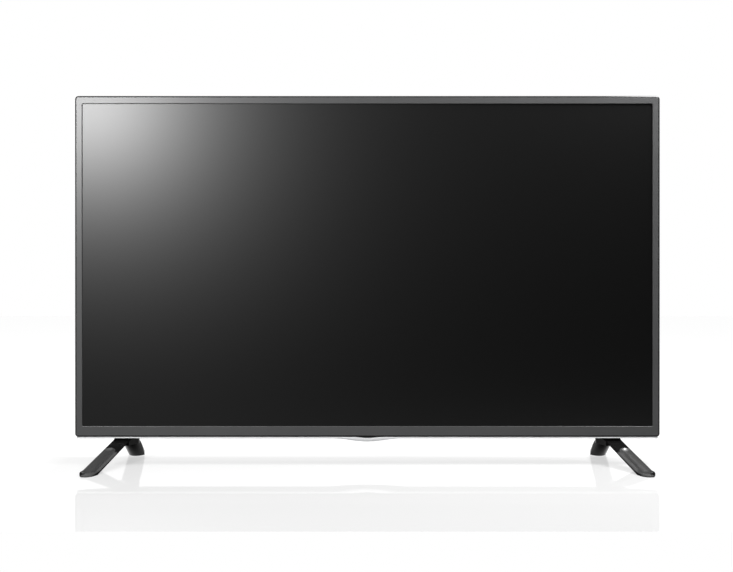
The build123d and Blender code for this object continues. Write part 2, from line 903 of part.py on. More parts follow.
def socket_holes():
    """The holes in the bays' walls that the sockets show through."""
    reach = bay_wall + overrun
    wall = socket_wall + socket_fit
    sockets = [("right", x, z, video_mouth, socket_wall) for x, z in video_spots()]
    sockets.append(("right", *data_spot(), data_mouth, socket_wall))
    sockets.append(("down", *low_spot(network_share), network_mouth, socket_wall))
    sockets.append(("down", *low_spot(optical_share), optical_mouth, socket_wall))
    sockets.append(("left", *inlet_spot(), inlet_mouth, bay_wall))
    holes = []
    for facing, x, z, mouth, own_wall in sockets:
        start = x - reach if facing == "right" else x
        hole_x = start + reach if facing == "right" else start
        holes.append(mouth_block(facing, hole_x, z, seat_y(mouth, own_wall), mouth, reach,
                                 own_wall + socket_fit))
    x, z = low_spot(aerial_share)
    holes.append(rod_z(x, board_back_y + aerial_radius, aerial_radius + socket_fit, z - overrun,
                       z + reach))
    for x, z in jack_spots():
        holes.append(rod_z(x, board_back_y + jack_radius, jack_radius + socket_fit, z - overrun,
                           z + reach))
    return holes


def make_video_sockets():
    """The digital video sockets."""
    return group([square_socket("right", x, z, video_mouth, True) for x, z in video_spots()])


def make_data_socket():
    """The socket for a memory stick."""
    x, z = data_spot()
    return square_socket("right", x, z, data_mouth, True)


def make_network_socket():
    """The network socket."""
    x, z = low_spot(network_share)
    return square_socket("down", x, z, network_mouth, False)


def make_optical_socket():
    """The optical sound socket."""
    x, z = low_spot(optical_share)
    return square_socket("down", x, z, optical_mouth, False)


def make_aerial_socket():
    """The threaded-barrel aerial socket, standing out of the bay's wall."""
    x, z = low_spot(aerial_share)
    y = board_back_y + aerial_radius
    barrel = rod_z(x, y, aerial_radius, z - aerial_length, z + socket_depth)
    return barrel - (rod_z(x, y, aerial_radius - socket_wall, z - aerial_length - overrun, z)
                     - rod_z(x, y, aerial_core_radius, z - aerial_length, z + overrun))


def make_sound_jacks():
    """The round picture and sound jacks, standing out of the bay's wall."""
    jacks = []
    y = board_back_y + jack_radius
    for x, z in jack_spots():
        body = rod_z(x, y, jack_radius, z - jack_length, z + socket_depth)
        jacks.append(body - rod_z(x, y, jack_core_radius, z - jack_length - overrun, z))
    return group(jacks)


def make_mains_inlet():
    """The two-pin mains inlet in its own bay, with its pins inside."""
    x, z = inlet_spot()
    middle_y = seat_y(inlet_mouth, bay_wall)
    shell = mouth_block("left", x, z, middle_y, inlet_mouth, inlet_depth, bay_wall)
    body = shell - mouth_block("left", x, z, middle_y, inlet_mouth, inlet_depth - bay_wall, 0)
    for side in (-1, 1):
        body = body + rod_x(middle_y, z + side * inlet_pin_spread, inlet_pin_radius,
                            x + bay_wall, x + inlet_depth)
    return body


# Speakers


def speaker_box(side):
    """One speaker's outer corners."""
    x = side * speaker_centre_x
    y0, y1 = speaker_y()
    z0 = cover_low + cover_wall + gasket_thick
    return (x - speaker_size[0] / 2, x + speaker_size[0] / 2, y0, y1, z0, z0 + speaker_size[2])


def cone_spots(side):
    """The two drivers in one speaker, by the middles of their mouths."""
    x0, x1, y0, y1, _, _ = speaker_box(side)
    quarter = (x1 - x0) / 4
    return [(x0 + quarter, (y0 + y1) / 2), (x1 - quarter, (y0 + y1) / 2)]


def make_speaker(side):
    """A sealed speaker box with two round driver mouths that face down."""
    x0, x1, y0, y1, z0, z1 = speaker_box(side)
    box = block(x0, x1, y0, y1, z0, z1)
    mouths = [rod_z(x, y, speaker_cone_radius, z0 - overrun, z0 + speaker_cone_depth)
              for x, y in cone_spots(side)]
    return cut_all(box, mouths)


def make_speaker_cones():
    """The four driver cones, shallow dishes in the speakers' mouths."""
    cones = []
    for side in (-1, 1):
        z0 = speaker_box(side)[4]
        for x, y in cone_spots(side):
            rim = speaker_cone_radius - seam
            wide = Pos(x, y, z0) * Cone(rim, rim / 3, speaker_cone_depth - seam,
                                        align=(Align.CENTER, Align.CENTER, Align.MIN))
            cones.append(wide)
    return group(cones)


def make_speaker_gaskets():
    """The foam rings between each speaker and the cover."""
    rings = []
    for side in (-1, 1):
        x0, x1, y0, y1, z0, _ = speaker_box(side)
        edge = gasket_thick + gasket_thick
        outer = block(x0, x1, y0, y1, z0 - gasket_thick + seam / 2, z0)
        rings.append(outer - block(x0 + edge, x1 - edge, y0 + edge / 2, y1 - edge / 2,
                                   z0 - gasket_thick - overrun, z0 + overrun))
    return group(rings)


# Button under the middle

button_case_wall = 2.0
button_case_gap = 1.4
solder_gap = 0.2


def button_case_half():
    """Half the inside width of the button's case."""
    return gimbal_outer + button_case_gap


def button_levels():
    """The case's underside, its top, and the switch board's underside."""
    low = cover_low + cover_wall
    top = pivot_height + gimbal_height + button_case_wall + board_thick
    return (low, top, top - board_thick)


def make_button_case():
    """The case fixed inside the cover, with the pivot bores for the gimbal ring."""
    low, _, board_z = button_levels()
    half = button_case_half()
    outer = half + button_case_wall
    body = block(-outer, outer, pivot_y - outer, pivot_y + outer, low, board_z)
    hollow = block(-half, half, pivot_y - half, pivot_y + half, low - overrun,
                   board_z + overrun)
    bore = rod_x(pivot_y, pivot_height, trunnion_radius + trunnion_fit, -outer - overrun,
                 outer + overrun)
    return body - hollow - bore


def make_button_board():
    """The switch board that closes the top of the case."""
    _, top, board_z = button_levels()
    return block(-button_board_size[0] / 2, button_board_size[0] / 2,
                 pivot_y - button_board_size[1] / 2, pivot_y + button_board_size[1] / 2,
                 board_z + solder_gap / 2, top)


def make_button_dome():
    """The sprung metal dome on the switch board, above the stem."""
    _, _, board_z = button_levels()
    return rod_z(0, pivot_y, stem_boss_radius, board_z - solder_gap, board_z + solder_gap / 2)


def make_joystick_ring():
    """The gimbal ring, with its two pins along X and two bores along Y."""
    half = button_case_half()
    outer = rod_z(0, pivot_y, gimbal_outer, pivot_height - gimbal_height / 2,
                  pivot_height + gimbal_height / 2)
    ring = outer - rod_z(0, pivot_y, gimbal_inner, pivot_height - gimbal_height,
                         pivot_height + gimbal_height)
    bore = rod_y(0, pivot_height, trunnion_radius + trunnion_fit, pivot_y - gimbal_outer - overrun,
                 pivot_y + gimbal_outer + overrun)
    reach = half + button_case_wall / 2
    middle = (gimbal_outer + gimbal_inner) / 2
    pins = [rod_x(pivot_y, pivot_height, trunnion_radius, middle, reach),
            rod_x(pivot_y, pivot_height, trunnion_radius, -reach, -middle)]
    return (ring - bore).fuse(*pins)


def cap_levels():
    """The button cap's underside and its upper face."""
    top = cover_low - cap_gap
    return (top - cap_thick, top)


def make_joystick_stem():
    """The stem: a boss with two pins along Y inside the ring, and the rod that the cap slides on."""
    _, top = cap_levels()
    middle = (gimbal_outer + gimbal_inner) / 2
    boss = rod_z(0, pivot_y, stem_boss_radius, pivot_height - gimbal_height / 2,
                 pivot_height + gimbal_height / 2)
    pins = [rod_y(0, pivot_height, trunnion_radius, pivot_y - middle, pivot_y + middle)]
    rod = rod_z(0, pivot_y, stem_radius, top + press_travel, pivot_height)
    return boss.fuse(rod, *pins)


def make_joystick_cap():
    """The round cap with its sleeve, which slides up the stem when it is pressed."""
    low, top = cap_levels()
    edge = cap_thick / 3
    disc = fillet(rod_z(0, pivot_y, cap_radius, low, top).edges().sort_by(Axis.Z)[0], edge)
    sleeve_top = pivot_height - gimbal_height - press_travel
    sleeve = rod_z(0, pivot_y, neck_radius, top, sleeve_top)
    bore = rod_z(0, pivot_y, stem_radius + stem_fit, top, sleeve_top + overrun)
    return disc + sleeve - bore


# Feet


def foot_side_outline():
    """The foot seen from the side, in Y and Z, as one wedge over both legs."""
    top = cover_low - play
    return [(-foot_front_reach, 0), (-foot_front_reach, foot_tip_height),
            (foot_knee_length - foot_front_reach, foot_knee_height), (foot_top_front, top),
            (foot_top_rear, top), (foot_rear_reach, foot_rear_height), (foot_rear_reach, 0)]


def foot_arch_outline():
    """The opening between the legs, seen from the side, in Y and Z."""
    front_rise = foot_arch_height / (foot_hub_front - foot_arch_lead - foot_arch_front)
    rear_rise = foot_arch_height / (foot_arch_rear - foot_top_rear - foot_edge)
    return [(foot_arch_front - overrun / front_rise, -overrun),
            (foot_hub_front - foot_arch_lead, foot_arch_height),
            (foot_top_rear + foot_edge, foot_arch_height),
            (foot_arch_rear + overrun / rear_rise, -overrun)]


def foot_plan_outline(side):
    """The foot seen from above: the front leg splays outward, the rear leg runs nearly straight."""
    half_top = foot_top_width / 2
    half_tip = foot_tip_width / 2
    half_rear = foot_rear_width / 2
    outer_tip_y = -foot_front_reach + foot_tip_width * 3 / 4
    inner_tip_y = -foot_front_reach + foot_tip_width / 4
    flat = foot_corner * 2 / 3
    points = [(half_rear + foot_rear_shift, foot_rear_reach), (half_top, foot_top_rear),
              (foot_hub_inner, foot_hub_front), (-foot_splay + half_tip, inner_tip_y),
              (-foot_splay + flat, -foot_front_reach), (-foot_splay - flat, -foot_front_reach),
              (-foot_splay - half_tip, outer_tip_y), (-foot_hub_outer, foot_hub_front),
              (-half_rear + foot_rear_shift, foot_top_rear + foot_corner),
              (-half_rear + foot_rear_shift, foot_rear_reach)]
    return [(side * (foot_centre_x - inward), y) for inward, y in points]


def foot_undercut(side):
    """The space that the front leg's inner side leans away from, up to the hub."""
    across, along, down = foot_under_direction
    corner = Vector(side * (foot_centre_x + foot_under_gap), foot_arch_front, 0)
    face_plane = Plane(origin=corner, x_dir=(0, 1, 0), z_dir=(-side * across, along, down))
    reach = foot_front_reach + foot_rear_reach
    below = extrude(face_plane * Rectangle(reach, reach), amount=floor_gap)
    ahead = block(-body_width, body_width, -reach, foot_hub_front - foot_edge, -floor_gap, floor_gap)
    return below & ahead


def foot_rear_trim(side):
    """The space beside the round keel under the rear leg."""
    rise = foot_arch_height
    run = foot_arch_rear - foot_top_rear - foot_edge
    middle = Vector(side * (foot_centre_x - foot_keel_shift), foot_arch_rear, 0)
    slope = Plane(origin=middle, x_dir=(1, 0, 0), z_dir=(0, -run, rise))
    length = math.hypot(run, rise)
    start = slope.offset(-length)
    towards_leg = 1 if start.y_dir.Z > 0 else -1
    keel = start * Pos(0, towards_leg * foot_keel_radius) * Circle(foot_keel_radius)
    beside = start * Rectangle(foot_top_width, foot_keel_radius * 2)
    return extrude(beside, amount=length * 2) - extrude(keel, amount=length * 2)


def foot_body(side):
    """The foot's outer form: what the side outline and the plan outline share."""
    side_wire = Polyline(*[(0, y, z) for y, z in foot_side_outline()], close=True)
    arch_wire = Polyline(*[(0, y, z) for y, z in foot_arch_outline()], close=True)
    across = extrude(make_face(side_wire), amount=half_width, dir=(side, 0, 0))
    arch = extrude(make_face(arch_wire), amount=half_width, dir=(side, 0, 0))
    plan_wire = FilletPolyline(*[(x, y, 0) for x, y in foot_plan_outline(side)], radius=foot_corner,
                               close=True)
    upright = extrude(make_face(plan_wire), amount=floor_gap, dir=(0, 0, 1))
    body = across & upright
    raised = [edge for edge in body.edges() if edge.center().Z > foot_pad_thick]
    rounded = [edge for edge in raised if abs(edge.tangent_at(0).Z) < 1 - foot_upright_share]
    body = fillet(rounded, foot_round)
    return cut_all(body, [arch, foot_undercut(side), foot_rear_trim(side)])


def make_foot(side):
    """One foot: the arched body, its tang inside the set, and the scooped recess in front."""
    body = foot_body(side)
    x = side * foot_centre_x
    tang = block(x - tang_size[0] / 2, x + tang_size[0] / 2, tang_front, tang_front + tang_size[1],
                 cover_low - play - foot_edge, cover_low + tang_size[2])
    body = body + tang
    holes = []
    for screw_x, screw_z in foot_screw_spots(side):
        holes.append(rod_y(screw_x, screw_z, foot_screw_radius + screw_fit,
                           tang_front + tang_size[1] - foot_screw_length,
                           tang_front + tang_size[1] + overrun))
    pads = [pad_block(side, end, play, overrun) for end in (-1, 1)]
    return cut_all(body, [*holes, *pads, dish_tool(side, 0)])


def foot_screw_spots(side):
    """Where the two screws go into one foot's tang."""
    x = side * foot_centre_x
    z = cover_low + tang_size[2] / 2
    return [(x - foot_screw_spread, z), (x + foot_screw_spread, z)]


def dish_axis(side):
    """The scooped dish's line: its place at the tip and at the top, on the beam's upper face."""
    high = cover_low - play
    run = foot_top_front + foot_front_reach
    fall = (high - foot_knee_height) / (run - foot_knee_length) * run
    top = Vector(side * (foot_centre_x + dish_shift), foot_top_front, high)
    tip = Vector(top.X + side * foot_splay, -foot_front_reach, high - fall)
    return tip, top


def dish_tool(side, lift):
    """A long round bar laid along the beam, which sinks into the upper face by the dish's depth."""
    tip, top = dish_axis(side)
    along = (top - tip).normalized()
    sideways = Vector(0, 0, 1).cross(along).normalized()
    up = along.cross(sideways).normalized()
    face_line = Plane(origin=tip + up * (dish_radius - dish_depth + lift), x_dir=sideways,
                      z_dir=along)
    length = (top - tip).length
    low_end = face_line.offset(length * dish_low_share)
    high_end = face_line.offset(length * dish_high_share)
    bar = extrude(low_end * Circle(dish_radius), amount=length * (dish_high_share - dish_low_share))
    return bar + low_end * Sphere(dish_radius) + high_end * Sphere(dish_radius)


def make_foot_dish(side):
    """The satin insert that lines the scooped recess."""
    body = foot_body(side)
    shell = dish_tool(side, 0) & body
    return shell - dish_tool(side, dish_thick)


def pad_block(side, end, margin, drop):
    """A rubber pad's outline under the front tip or the rear leg, grown by a margin."""
    x_mid = side * (foot_centre_x - foot_rear_shift)
    y0 = foot_arch_rear + foot_corner
    y1 = foot_rear_reach - foot_corner / 2
    half = foot_rear_width / 2 - foot_corner * 2 / 3
    if end < 0:
        x_mid = side * (foot_centre_x + foot_splay * pad_splay_share)
        y0 = -foot_front_reach + foot_corner * 2
        y1 = foot_arch_front - foot_corner / 2
        half = foot_tip_width / 4
    low = -drop if drop else 0
    return block(x_mid - half - margin, x_mid + half + margin, y0 - margin, y1 + margin,
                 low, foot_pad_thick + margin)


def make_foot_pads():
    """The rubber pads let into the underside of both feet."""
    return group([pad_block(side, end, 0, 0) for side in (-1, 1) for end in (-1, 1)])


def make_foot_bracket(side):
    """The steel bracket that ties one foot's tang to the chassis."""
    x = side * foot_centre_x
    half = tang_size[0] / 2 + foot_edge
    low = cover_low + cover_wall + play
    bend = cover_low + tang_size[2] + foot_bracket_thick + foot_arch_height
    y0 = tang_front + tang_size[1] + seam
    if side > 0:
        inner = x - half
        outer = x + tang_size[0] / 2
    else:
        inner = x - tang_size[0] / 2
        outer = x + half
    upright = block(inner, outer, y0, y0 + foot_bracket_thick, low, bend)
    shelf = block(inner, outer, chassis_back_y, y0 + foot_bracket_thick, bend,
                  bend + foot_bracket_thick)
    flange = block(inner, outer, chassis_back_y, chassis_back_y + foot_bracket_thick, bend,
                   bend + foot_arch_height)
    holes = [rod_y(screw_x, screw_z, foot_screw_radius + screw_fit, y0 - overrun, y0 + overrun)
             for screw_x, screw_z in foot_screw_spots(side)]
    return cut_all(upright.fuse(shelf, flange), holes)


def make_foot_screws():
    """Two screws in each foot, put in from behind."""
    screws = []
    seat_y = tang_front + tang_size[1] + seam + foot_bracket_thick
    for side in (-1, 1):
        for x, z in foot_screw_spots(side):
            head = rod_y(x, z, screw_head_radius, seat_y, seat_y + screw_head_height)
            shank = rod_y(x, z, foot_screw_radius, seat_y - foot_screw_length, seat_y)
            screws.append(head + shank)
    return group(screws)


# Receiver and inner cables

sensor_board_size = (26.0, 6.0, 1.2)
cable_thick = 1.2
ribbon_width = 20.0
harness_width = 9.0
wire_width = 4.0
cable_lift = 0.3


def sensor_board_place():
    """The receiver's board: its middle in Y and its lower and upper faces."""
    y0 = cover_front_y + cover_wall + seam
    low = cover_low + cover_wall + seam
    return (y0, y0 + sensor_board_size[1], low, low + sensor_board_size[2])


def make_sensor_board():
    """The small board with the remote's receiver and the standby light."""
    y0, y1, low, high = sensor_board_place()
    half = sensor_board_size[0] / 2
    plate = block(-half, half, y0, y1, low, high)
    eye = rod_z(0, (y0 + y1) / 2, sensor_board_size[1] / 3, high, high + sensor_board_size[1] / 2)
    return plate + eye


def flat_cable(points, width, layer):
    """A flat cable behind the chassis: straight runs between points in X and Z, on a layer."""
    y0 = chassis_back_y + cable_lift + layer * (cable_thick + cable_lift)
    half = width / 2
    runs = []
    for (x0, z0), (x1, z1) in zip(points, points[1:]):
        runs.append(block(min(x0, x1) - half, max(x0, x1) + half, y0, y0 + cable_thick,
                          min(z0, z1) - half, max(z0, z1) + half))
    return runs[0].fuse(*runs[1:]) if len(runs) > 1 else runs[0]


def make_ribbon_cable():
    """The wide ribbon from behind the main board up to the timing board."""
    x = main_board_centre[0] - main_board_size[0] / 2 + ribbon_width
    z0 = main_board_centre[1] + main_board_size[1] / 2 - ribbon_width
    x_end = timing_board_size[0] / 2 - ribbon_width
    return flat_cable([(x, z0), (x, timing_board_height), (x_end, timing_board_height)],
                      ribbon_width, 0)


def make_power_harness():
    """The wires from behind the power board to behind the main board."""
    x0 = power_board_centre[0] + power_board_size[0] / 2 - harness_width
    x1 = main_board_centre[0] - main_board_size[0] / 2 + harness_width
    return flat_cable([(x0, power_board_centre[1]), (x1, power_board_centre[1])], harness_width, 0)


def make_light_harness():
    """The wires from behind the power board up to the lights' way through the chassis."""
    x = power_board_centre[0]
    z0 = power_board_centre[1] + power_board_size[1] / 2 - harness_width
    z1 = mount_height + mount_pitch_z / 2
    return flat_cable([(x, z0), (x, z1)], harness_width, 0)


def wire_run():
    """The level of the speaker wires' long run, and where they turn up to the main board."""
    z_run = cover_low + chassis_slope + cover_full_in / 4
    x_turn = main_board_centre[0] - main_board_size[0] / 2 + wire_width * 3
    z_top = main_board_centre[1] - main_board_size[1] / 4
    return (z_run, x_turn, z_top)


def make_speaker_wires():
    """The pairs of wires from the main board down to both speakers."""
    z_run, x_turn, z_top = wire_run()
    z_low = speaker_box(1)[5] + seam + wire_width / 2
    x_right = x_turn + wire_width * 2
    left = flat_cable([(-speaker_centre_x, z_low), (-speaker_centre_x, z_run), (x_turn, z_run),
                       (x_turn, z_top)], wire_width, 0)
    right = flat_cable([(speaker_centre_x, z_low), (speaker_centre_x, z_run), (x_right, z_run),
                        (x_right, z_top)], wire_width, 0)
    return group([left, right])


def make_sensor_cable():
    """The thin cable from the main board down to the button's board."""
    x = button_board_size[0] / 2 - wire_width
    z0 = button_levels()[1] + seam + wire_width / 2
    z1 = main_board_centre[1] - main_board_size[1] / 3
    x_end = main_board_centre[0] - main_board_size[0] / 2 + wire_width * 7
    return flat_cable([(x, z0), (x, z1), (x_end, z1)], wire_width, 1)


# Write every sub-part

save("front_bezel", make_front_bezel())
save("clear_trim_strip", make_clear_strip())
save("remote_window", make_remote_window())
save("lcd_panel", sheet(cell_overlap, cell_front_y, cell_rear_y))
save("panel_guide_frame", make_guide_frame())
save("panel_buffers", make_buffers())
save("prism_film", sheet(cell_overlap, film_front_y, film_front_y + film_thick))
save("diffuser_plate", sheet(cell_overlap, plate_front_y, plate_front_y + plate_thick))
save("reflector_sheet", make_reflector())
save("light_bars", make_light_bars())
save("light_lenses", make_light_lenses())
save("back_chassis", make_back_chassis())
save("rear_cover", make_rear_cover())
save("socket_bays", make_socket_bays())
save("cover_screws", make_cover_screws())
save("wall_mount_bushes", make_wall_mount_bushes())
save("main_board", board(main_board_size, main_board_centre))
save("board_chips", make_board_chips())
save("main_heat_sink", make_main_heat_sink())
save("main_board_plugs", make_board_plugs())
save("power_board", board(power_board_size, power_board_centre))
save("power_transformers", make_power_transformers())
save("power_capacitors", make_power_capacitors())
save("power_heat_sinks", make_power_heat_sinks())
save("timing_board", board(timing_board_size, (0, timing_board_height)))
save("timing_board_shield", make_timing_shield())
save("source_boards", make_source_boards())
save("source_flexes", make_source_flexes())
save("board_screws", make_board_screws())
save("video_sockets", make_video_sockets())
save("data_socket", make_data_socket())
save("network_socket", make_network_socket())
save("optical_socket", make_optical_socket())
save("aerial_socket", make_aerial_socket())
save("sound_jacks", make_sound_jacks())
save("mains_inlet", make_mains_inlet())
save("speaker_left", make_speaker(-1))
save("speaker_right", make_speaker(1))
save("speaker_cones", make_speaker_cones())
save("speaker_gaskets", make_speaker_gaskets())
save("button_case", make_button_case())
save("button_board", make_button_board())
save("button_dome", make_button_dome())
save("joystick_ring", make_joystick_ring())
save("joystick_stem", make_joystick_stem())
save("joystick_cap", make_joystick_cap())
for foot_name, foot_side in (("left", -1), ("right", 1)):
    save(f"foot_{foot_name}", make_foot(foot_side))
    save(f"foot_dish_{foot_name}", make_foot_dish(foot_side))
save("foot_pads", make_foot_pads())
save("foot_brackets", group([make_foot_bracket(side) for side in (-1, 1)]))
save("foot_screws", make_foot_screws())
save("sensor_board", make_sensor_board())
save("ribbon_cable", make_ribbon_cable())
save("power_harness", make_power_harness())
save("light_harness", make_light_harness())
save("speaker_wires", make_speaker_wires())
save("sensor_cable", make_sensor_cable())
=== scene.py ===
# %% [markdown]
# # A flat screen television, dressed for its portrait
# The construction comes ready made: every casing, board, screw and joint is a fixed solid, and this
# script only gives it its looks. The camera stands where the photographer stood, the pieces whose
# form shows from a step away are made again as smooth surfaces, and every node gets a finish.

# %% Load the frame and measure it
import json
import math

import bpy
import numpy as np
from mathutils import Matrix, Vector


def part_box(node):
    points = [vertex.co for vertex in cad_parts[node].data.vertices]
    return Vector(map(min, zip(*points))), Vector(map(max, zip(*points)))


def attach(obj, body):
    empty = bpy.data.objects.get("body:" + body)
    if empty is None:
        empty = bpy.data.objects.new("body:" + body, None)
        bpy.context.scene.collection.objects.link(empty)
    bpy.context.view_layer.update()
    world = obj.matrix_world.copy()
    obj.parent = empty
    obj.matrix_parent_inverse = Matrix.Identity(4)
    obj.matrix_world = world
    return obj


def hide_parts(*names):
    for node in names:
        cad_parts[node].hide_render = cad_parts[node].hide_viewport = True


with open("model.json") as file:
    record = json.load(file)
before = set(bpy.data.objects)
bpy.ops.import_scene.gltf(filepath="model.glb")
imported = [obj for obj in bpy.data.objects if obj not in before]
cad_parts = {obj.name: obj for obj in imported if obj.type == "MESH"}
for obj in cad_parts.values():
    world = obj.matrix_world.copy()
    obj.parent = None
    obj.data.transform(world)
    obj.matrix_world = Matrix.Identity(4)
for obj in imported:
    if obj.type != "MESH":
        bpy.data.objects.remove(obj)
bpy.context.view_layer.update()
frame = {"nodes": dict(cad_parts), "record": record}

MM = 0.001
node_box = {name: np.array(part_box(name)) for name in frame["nodes"]}
bezel_box = node_box["front_bezel"]

# %% [markdown]
# ## The camera
# The set is seen straight on, with upright edges that stay parallel, so the camera is level. Its
# lens axis is a little above the middle of the picture, which a small vertical shift gives. The
# focal length in pixels and the distance follow from how much the feet spread towards the viewer.

# %% Camera
PICTURE_WIDTH = 733
PICTURE_HEIGHT = 572
SENSOR_WIDTH = 36.0         # millimetres, as the lens length is
FARTHEST_SEEN = 60.0
FOCAL_PIXELS = 1083.8
EYE_DISTANCE = 2.048
EYE_HEIGHT = 0.378
HORIZON_PIXEL = 265.2
SET_MIDDLE_PIXEL = 367.4


def make_camera():
    """A level camera in front of the set; the shift puts the horizon at its own pixel row."""
    lens = bpy.data.cameras.new("portrait_camera")
    lens.sensor_width = SENSOR_WIDTH
    lens.lens = SENSOR_WIDTH * FOCAL_PIXELS / PICTURE_WIDTH
    lens.shift_x = (PICTURE_WIDTH / 2 - SET_MIDDLE_PIXEL) / PICTURE_WIDTH
    lens.shift_y = (HORIZON_PIXEL - PICTURE_HEIGHT / 2) / PICTURE_WIDTH
    lens.clip_end = FARTHEST_SEEN
    camera = bpy.data.objects.new("portrait_camera", lens)
    camera.location = (0.0, bezel_box[0][1] - EYE_DISTANCE, EYE_HEIGHT)
    camera.rotation_euler = (math.pi / 2, 0.0, 0.0)
    bpy.context.scene.collection.objects.link(camera)
    bpy.context.scene.camera = camera
    return camera


bpy.context.scene.view_settings.view_transform = "Standard"
camera = make_camera()
print("lens", round(camera.data.lens, 2), "mm")

# %% [markdown]
# ## Writing shader maths as sums
# A finish is a few numbers that change over the surface. A node graph says them in boxes and
# wires; an expression says them in one line. So a small class wraps a socket, and its operators add
# the Math nodes. Everything that isn't arithmetic goes through one method that makes any node.


# %% A socket that can be added and multiplied
class Signal:
    """A shader socket with arithmetic: each operator adds one Math node."""

    def __init__(self, graph, socket):
        self.graph = graph
        self.socket = socket

    def maths(self, operation, first, second=0.0):
        return self.graph.node("ShaderNodeMath", {"operation": operation}, {0: first, 1: second})

    def __add__(self, other):
        return self.maths("ADD", self, other)

    def __sub__(self, other):
        return self.maths("SUBTRACT", self, other)

    def __rsub__(self, other):
        return self.maths("SUBTRACT", other, self)

    def __mul__(self, other):
        return self.maths("MULTIPLY", self, other)

    def at_least(self, other):
        return self.maths("MAXIMUM", self, other)

    def size(self):
        return self.maths("ABSOLUTE", self)


# %% A node tree, written node by node
class Graph:
    """A node tree: each call makes one node and gives back one of its outputs."""

    def __init__(self, tree):
        self.nodes = tree.nodes
        self.links = tree.links

    def node(self, kind, settings=None, inputs=None, output=0):
        """Any node: its settings are set first, then its sockets get values or links."""
        made = self.nodes.new(kind)
        for key, value in (settings or {}).items():
            setattr(made, key, value)
        for key, value in (inputs or {}).items():
            if isinstance(value, Signal):
                self.links.new(value.socket, made.inputs[key])
            else:
                made.inputs[key].default_value = value
        return Signal(self, made.outputs[output])

    def place(self, space="Object"):
        """Where a point is, on the object in metres unless another space is named."""
        return self.node("ShaderNodeTexCoord", output=space)

    def axes(self, space="Object"):
        """The three coordinates of a point, each as its own signal."""
        split = self.nodes.new("ShaderNodeSeparateXYZ")
        self.links.new(self.place(space).socket, split.inputs[0])
        return [Signal(self, split.outputs[index]) for index in range(3)]

    def span(self, signal, low, high, to_low=0.0, to_high=1.0):
        """A signal's stretch from low to high, laid on another stretch and clipped there."""
        return self.node("ShaderNodeMapRange", {"clamp": True},
                         {0: signal, 1: low, 2: high, 3: to_low, 4: to_high})

    def before(self, signal, start, end):
        """A mask that is 1 up to the start and 0 from the end on."""
        return self.span(signal, start, end, 1.0, 0.0)


# %% One material, by name and by constants
NOISE_LOW, NOISE_HIGH = 0.3, 0.7         # most of a noise pattern lies between these


class Finish(Graph):
    """A Principled material: constants go straight on its sockets, signals are fed in."""

    def __init__(self, name, **constants):
        self.material = bpy.data.materials.new(name)
        self.material.use_nodes = True
        super().__init__(self.material.node_tree)
        self.shader = self.nodes["Principled BSDF"]
        for title, value in constants.items():
            self.shader.inputs[title.replace("_", " ")].default_value = value

    def noise(self, scale, detail=2.0, stretch=(1.0, 1.0, 1.0)):
        """Soft random grain, from 0 to 1; stretch scales the pattern along each axis."""
        where = self.node("ShaderNodeMapping", {}, {"Vector": self.place(), "Scale": stretch})
        return self.node("ShaderNodeTexNoise", {},
                         {"Vector": where, "Scale": scale, "Detail": detail})

    def cells(self, scale, feature="F1"):
        """Cell distance of a Voronoi pattern."""
        return self.node("ShaderNodeTexVoronoi", {"feature": feature},
                         {"Vector": self.place(), "Scale": scale})

    def blend(self, mask, low, high):
        """A colour between low and high, by a mask."""
        return self.node("ShaderNodeMix", {"data_type": "RGBA"},
                         {0: mask, 6: low, 7: high}, output=2)

    def by_noise(self, pattern, low, high):
        """A value from low to high over the range that a noise pattern fills."""
        return self.span(pattern, NOISE_LOW, NOISE_HIGH, low, high)

    def bump(self, height, depth, strength=1.0):
        """A Bump node fed to Normal; depth is in metres."""
        made = self.node("ShaderNodeBump", {}, {"Height": height, "Distance": depth,
                                                "Strength": strength})
        self.feed("Normal", made)

    def feed(self, title, signal):
        self.links.new(signal.socket, self.shader.inputs[title])


def grey(level, warmth=0.0):
    """A linear grey, a little warmer or cooler."""
    return (level * (1 + warmth), level, level * (1 - warmth), 1.0)


print("shader tools ready")

# %% [markdown]
# ## The finishes of the front
# The bezel is moulded plastic with a dark grey coat that holds a fine flake, so a lamp makes a wide
# soft glow on it; its rolled edges get a painted shade of near black, with a smoother gloss. The
# screen is nearly black: its film scatters a reflected lamp into a round haze, which is a rough
# dark gloss with a very fine grain. A painted glow would slide when the camera moves, so the
# screen's glow is left to the lamps.


# %% Bezel, screen and pale strip
BEZEL_SWELL = 1.7 * MM
# width of the rolled edge that takes the painted shade
SHADED_EDGE_WIDTH = 3.1 * MM
EDGE_SHADE_GLOSS = 0.20
EDGE_BLEND = 0.2 * MM
FLAKE_CLOUD = 0.25          # how much the wide cloud adds to the fine flake
FLAKE_TONES = (0.45, 0.80)  # the stretch of that sum from the darker to the lighter coat
FLAKE_DEPTH = 0.02 * MM


def make_bezel_finish():
    """Dark grey coat with fine flake on the face, and a painted shade of near black, with smoother
    gloss, where the edge rolls over.
    """
    finish = Finish("bezel_coat", Specular_IOR_Level=0.5)
    x, _, z = finish.axes()
    past_side = x.size() - (bezel_box[1][0] - SHADED_EDGE_WIDTH)
    past_low = (bezel_box[0][2] + BEZEL_SWELL + SHADED_EDGE_WIDTH) - z
    past_high = z - (bezel_box[1][2] - SHADED_EDGE_WIDTH)
    edge_shade = finish.span(past_side.at_least(past_low).at_least(past_high), 0.0, EDGE_BLEND)
    flake = finish.noise(scale=5200.0, detail=1.0)
    cloud = finish.noise(scale=9.0)
    tone = finish.span(flake + cloud * FLAKE_CLOUD, *FLAKE_TONES)
    coat = finish.blend(tone, grey(0.078, -0.01), grey(0.108, -0.01))
    # Painted shade: the rolled edge is painted near black where it would mirror the dim room.
    finish.feed("Base Color", finish.blend(edge_shade, coat, grey(0.004)))
    finish.feed("Roughness", finish.by_noise(flake, 0.315, 0.355) - edge_shade * EDGE_SHADE_GLOSS)
    finish.bump(flake, FLAKE_DEPTH, strength=0.35)
    return finish


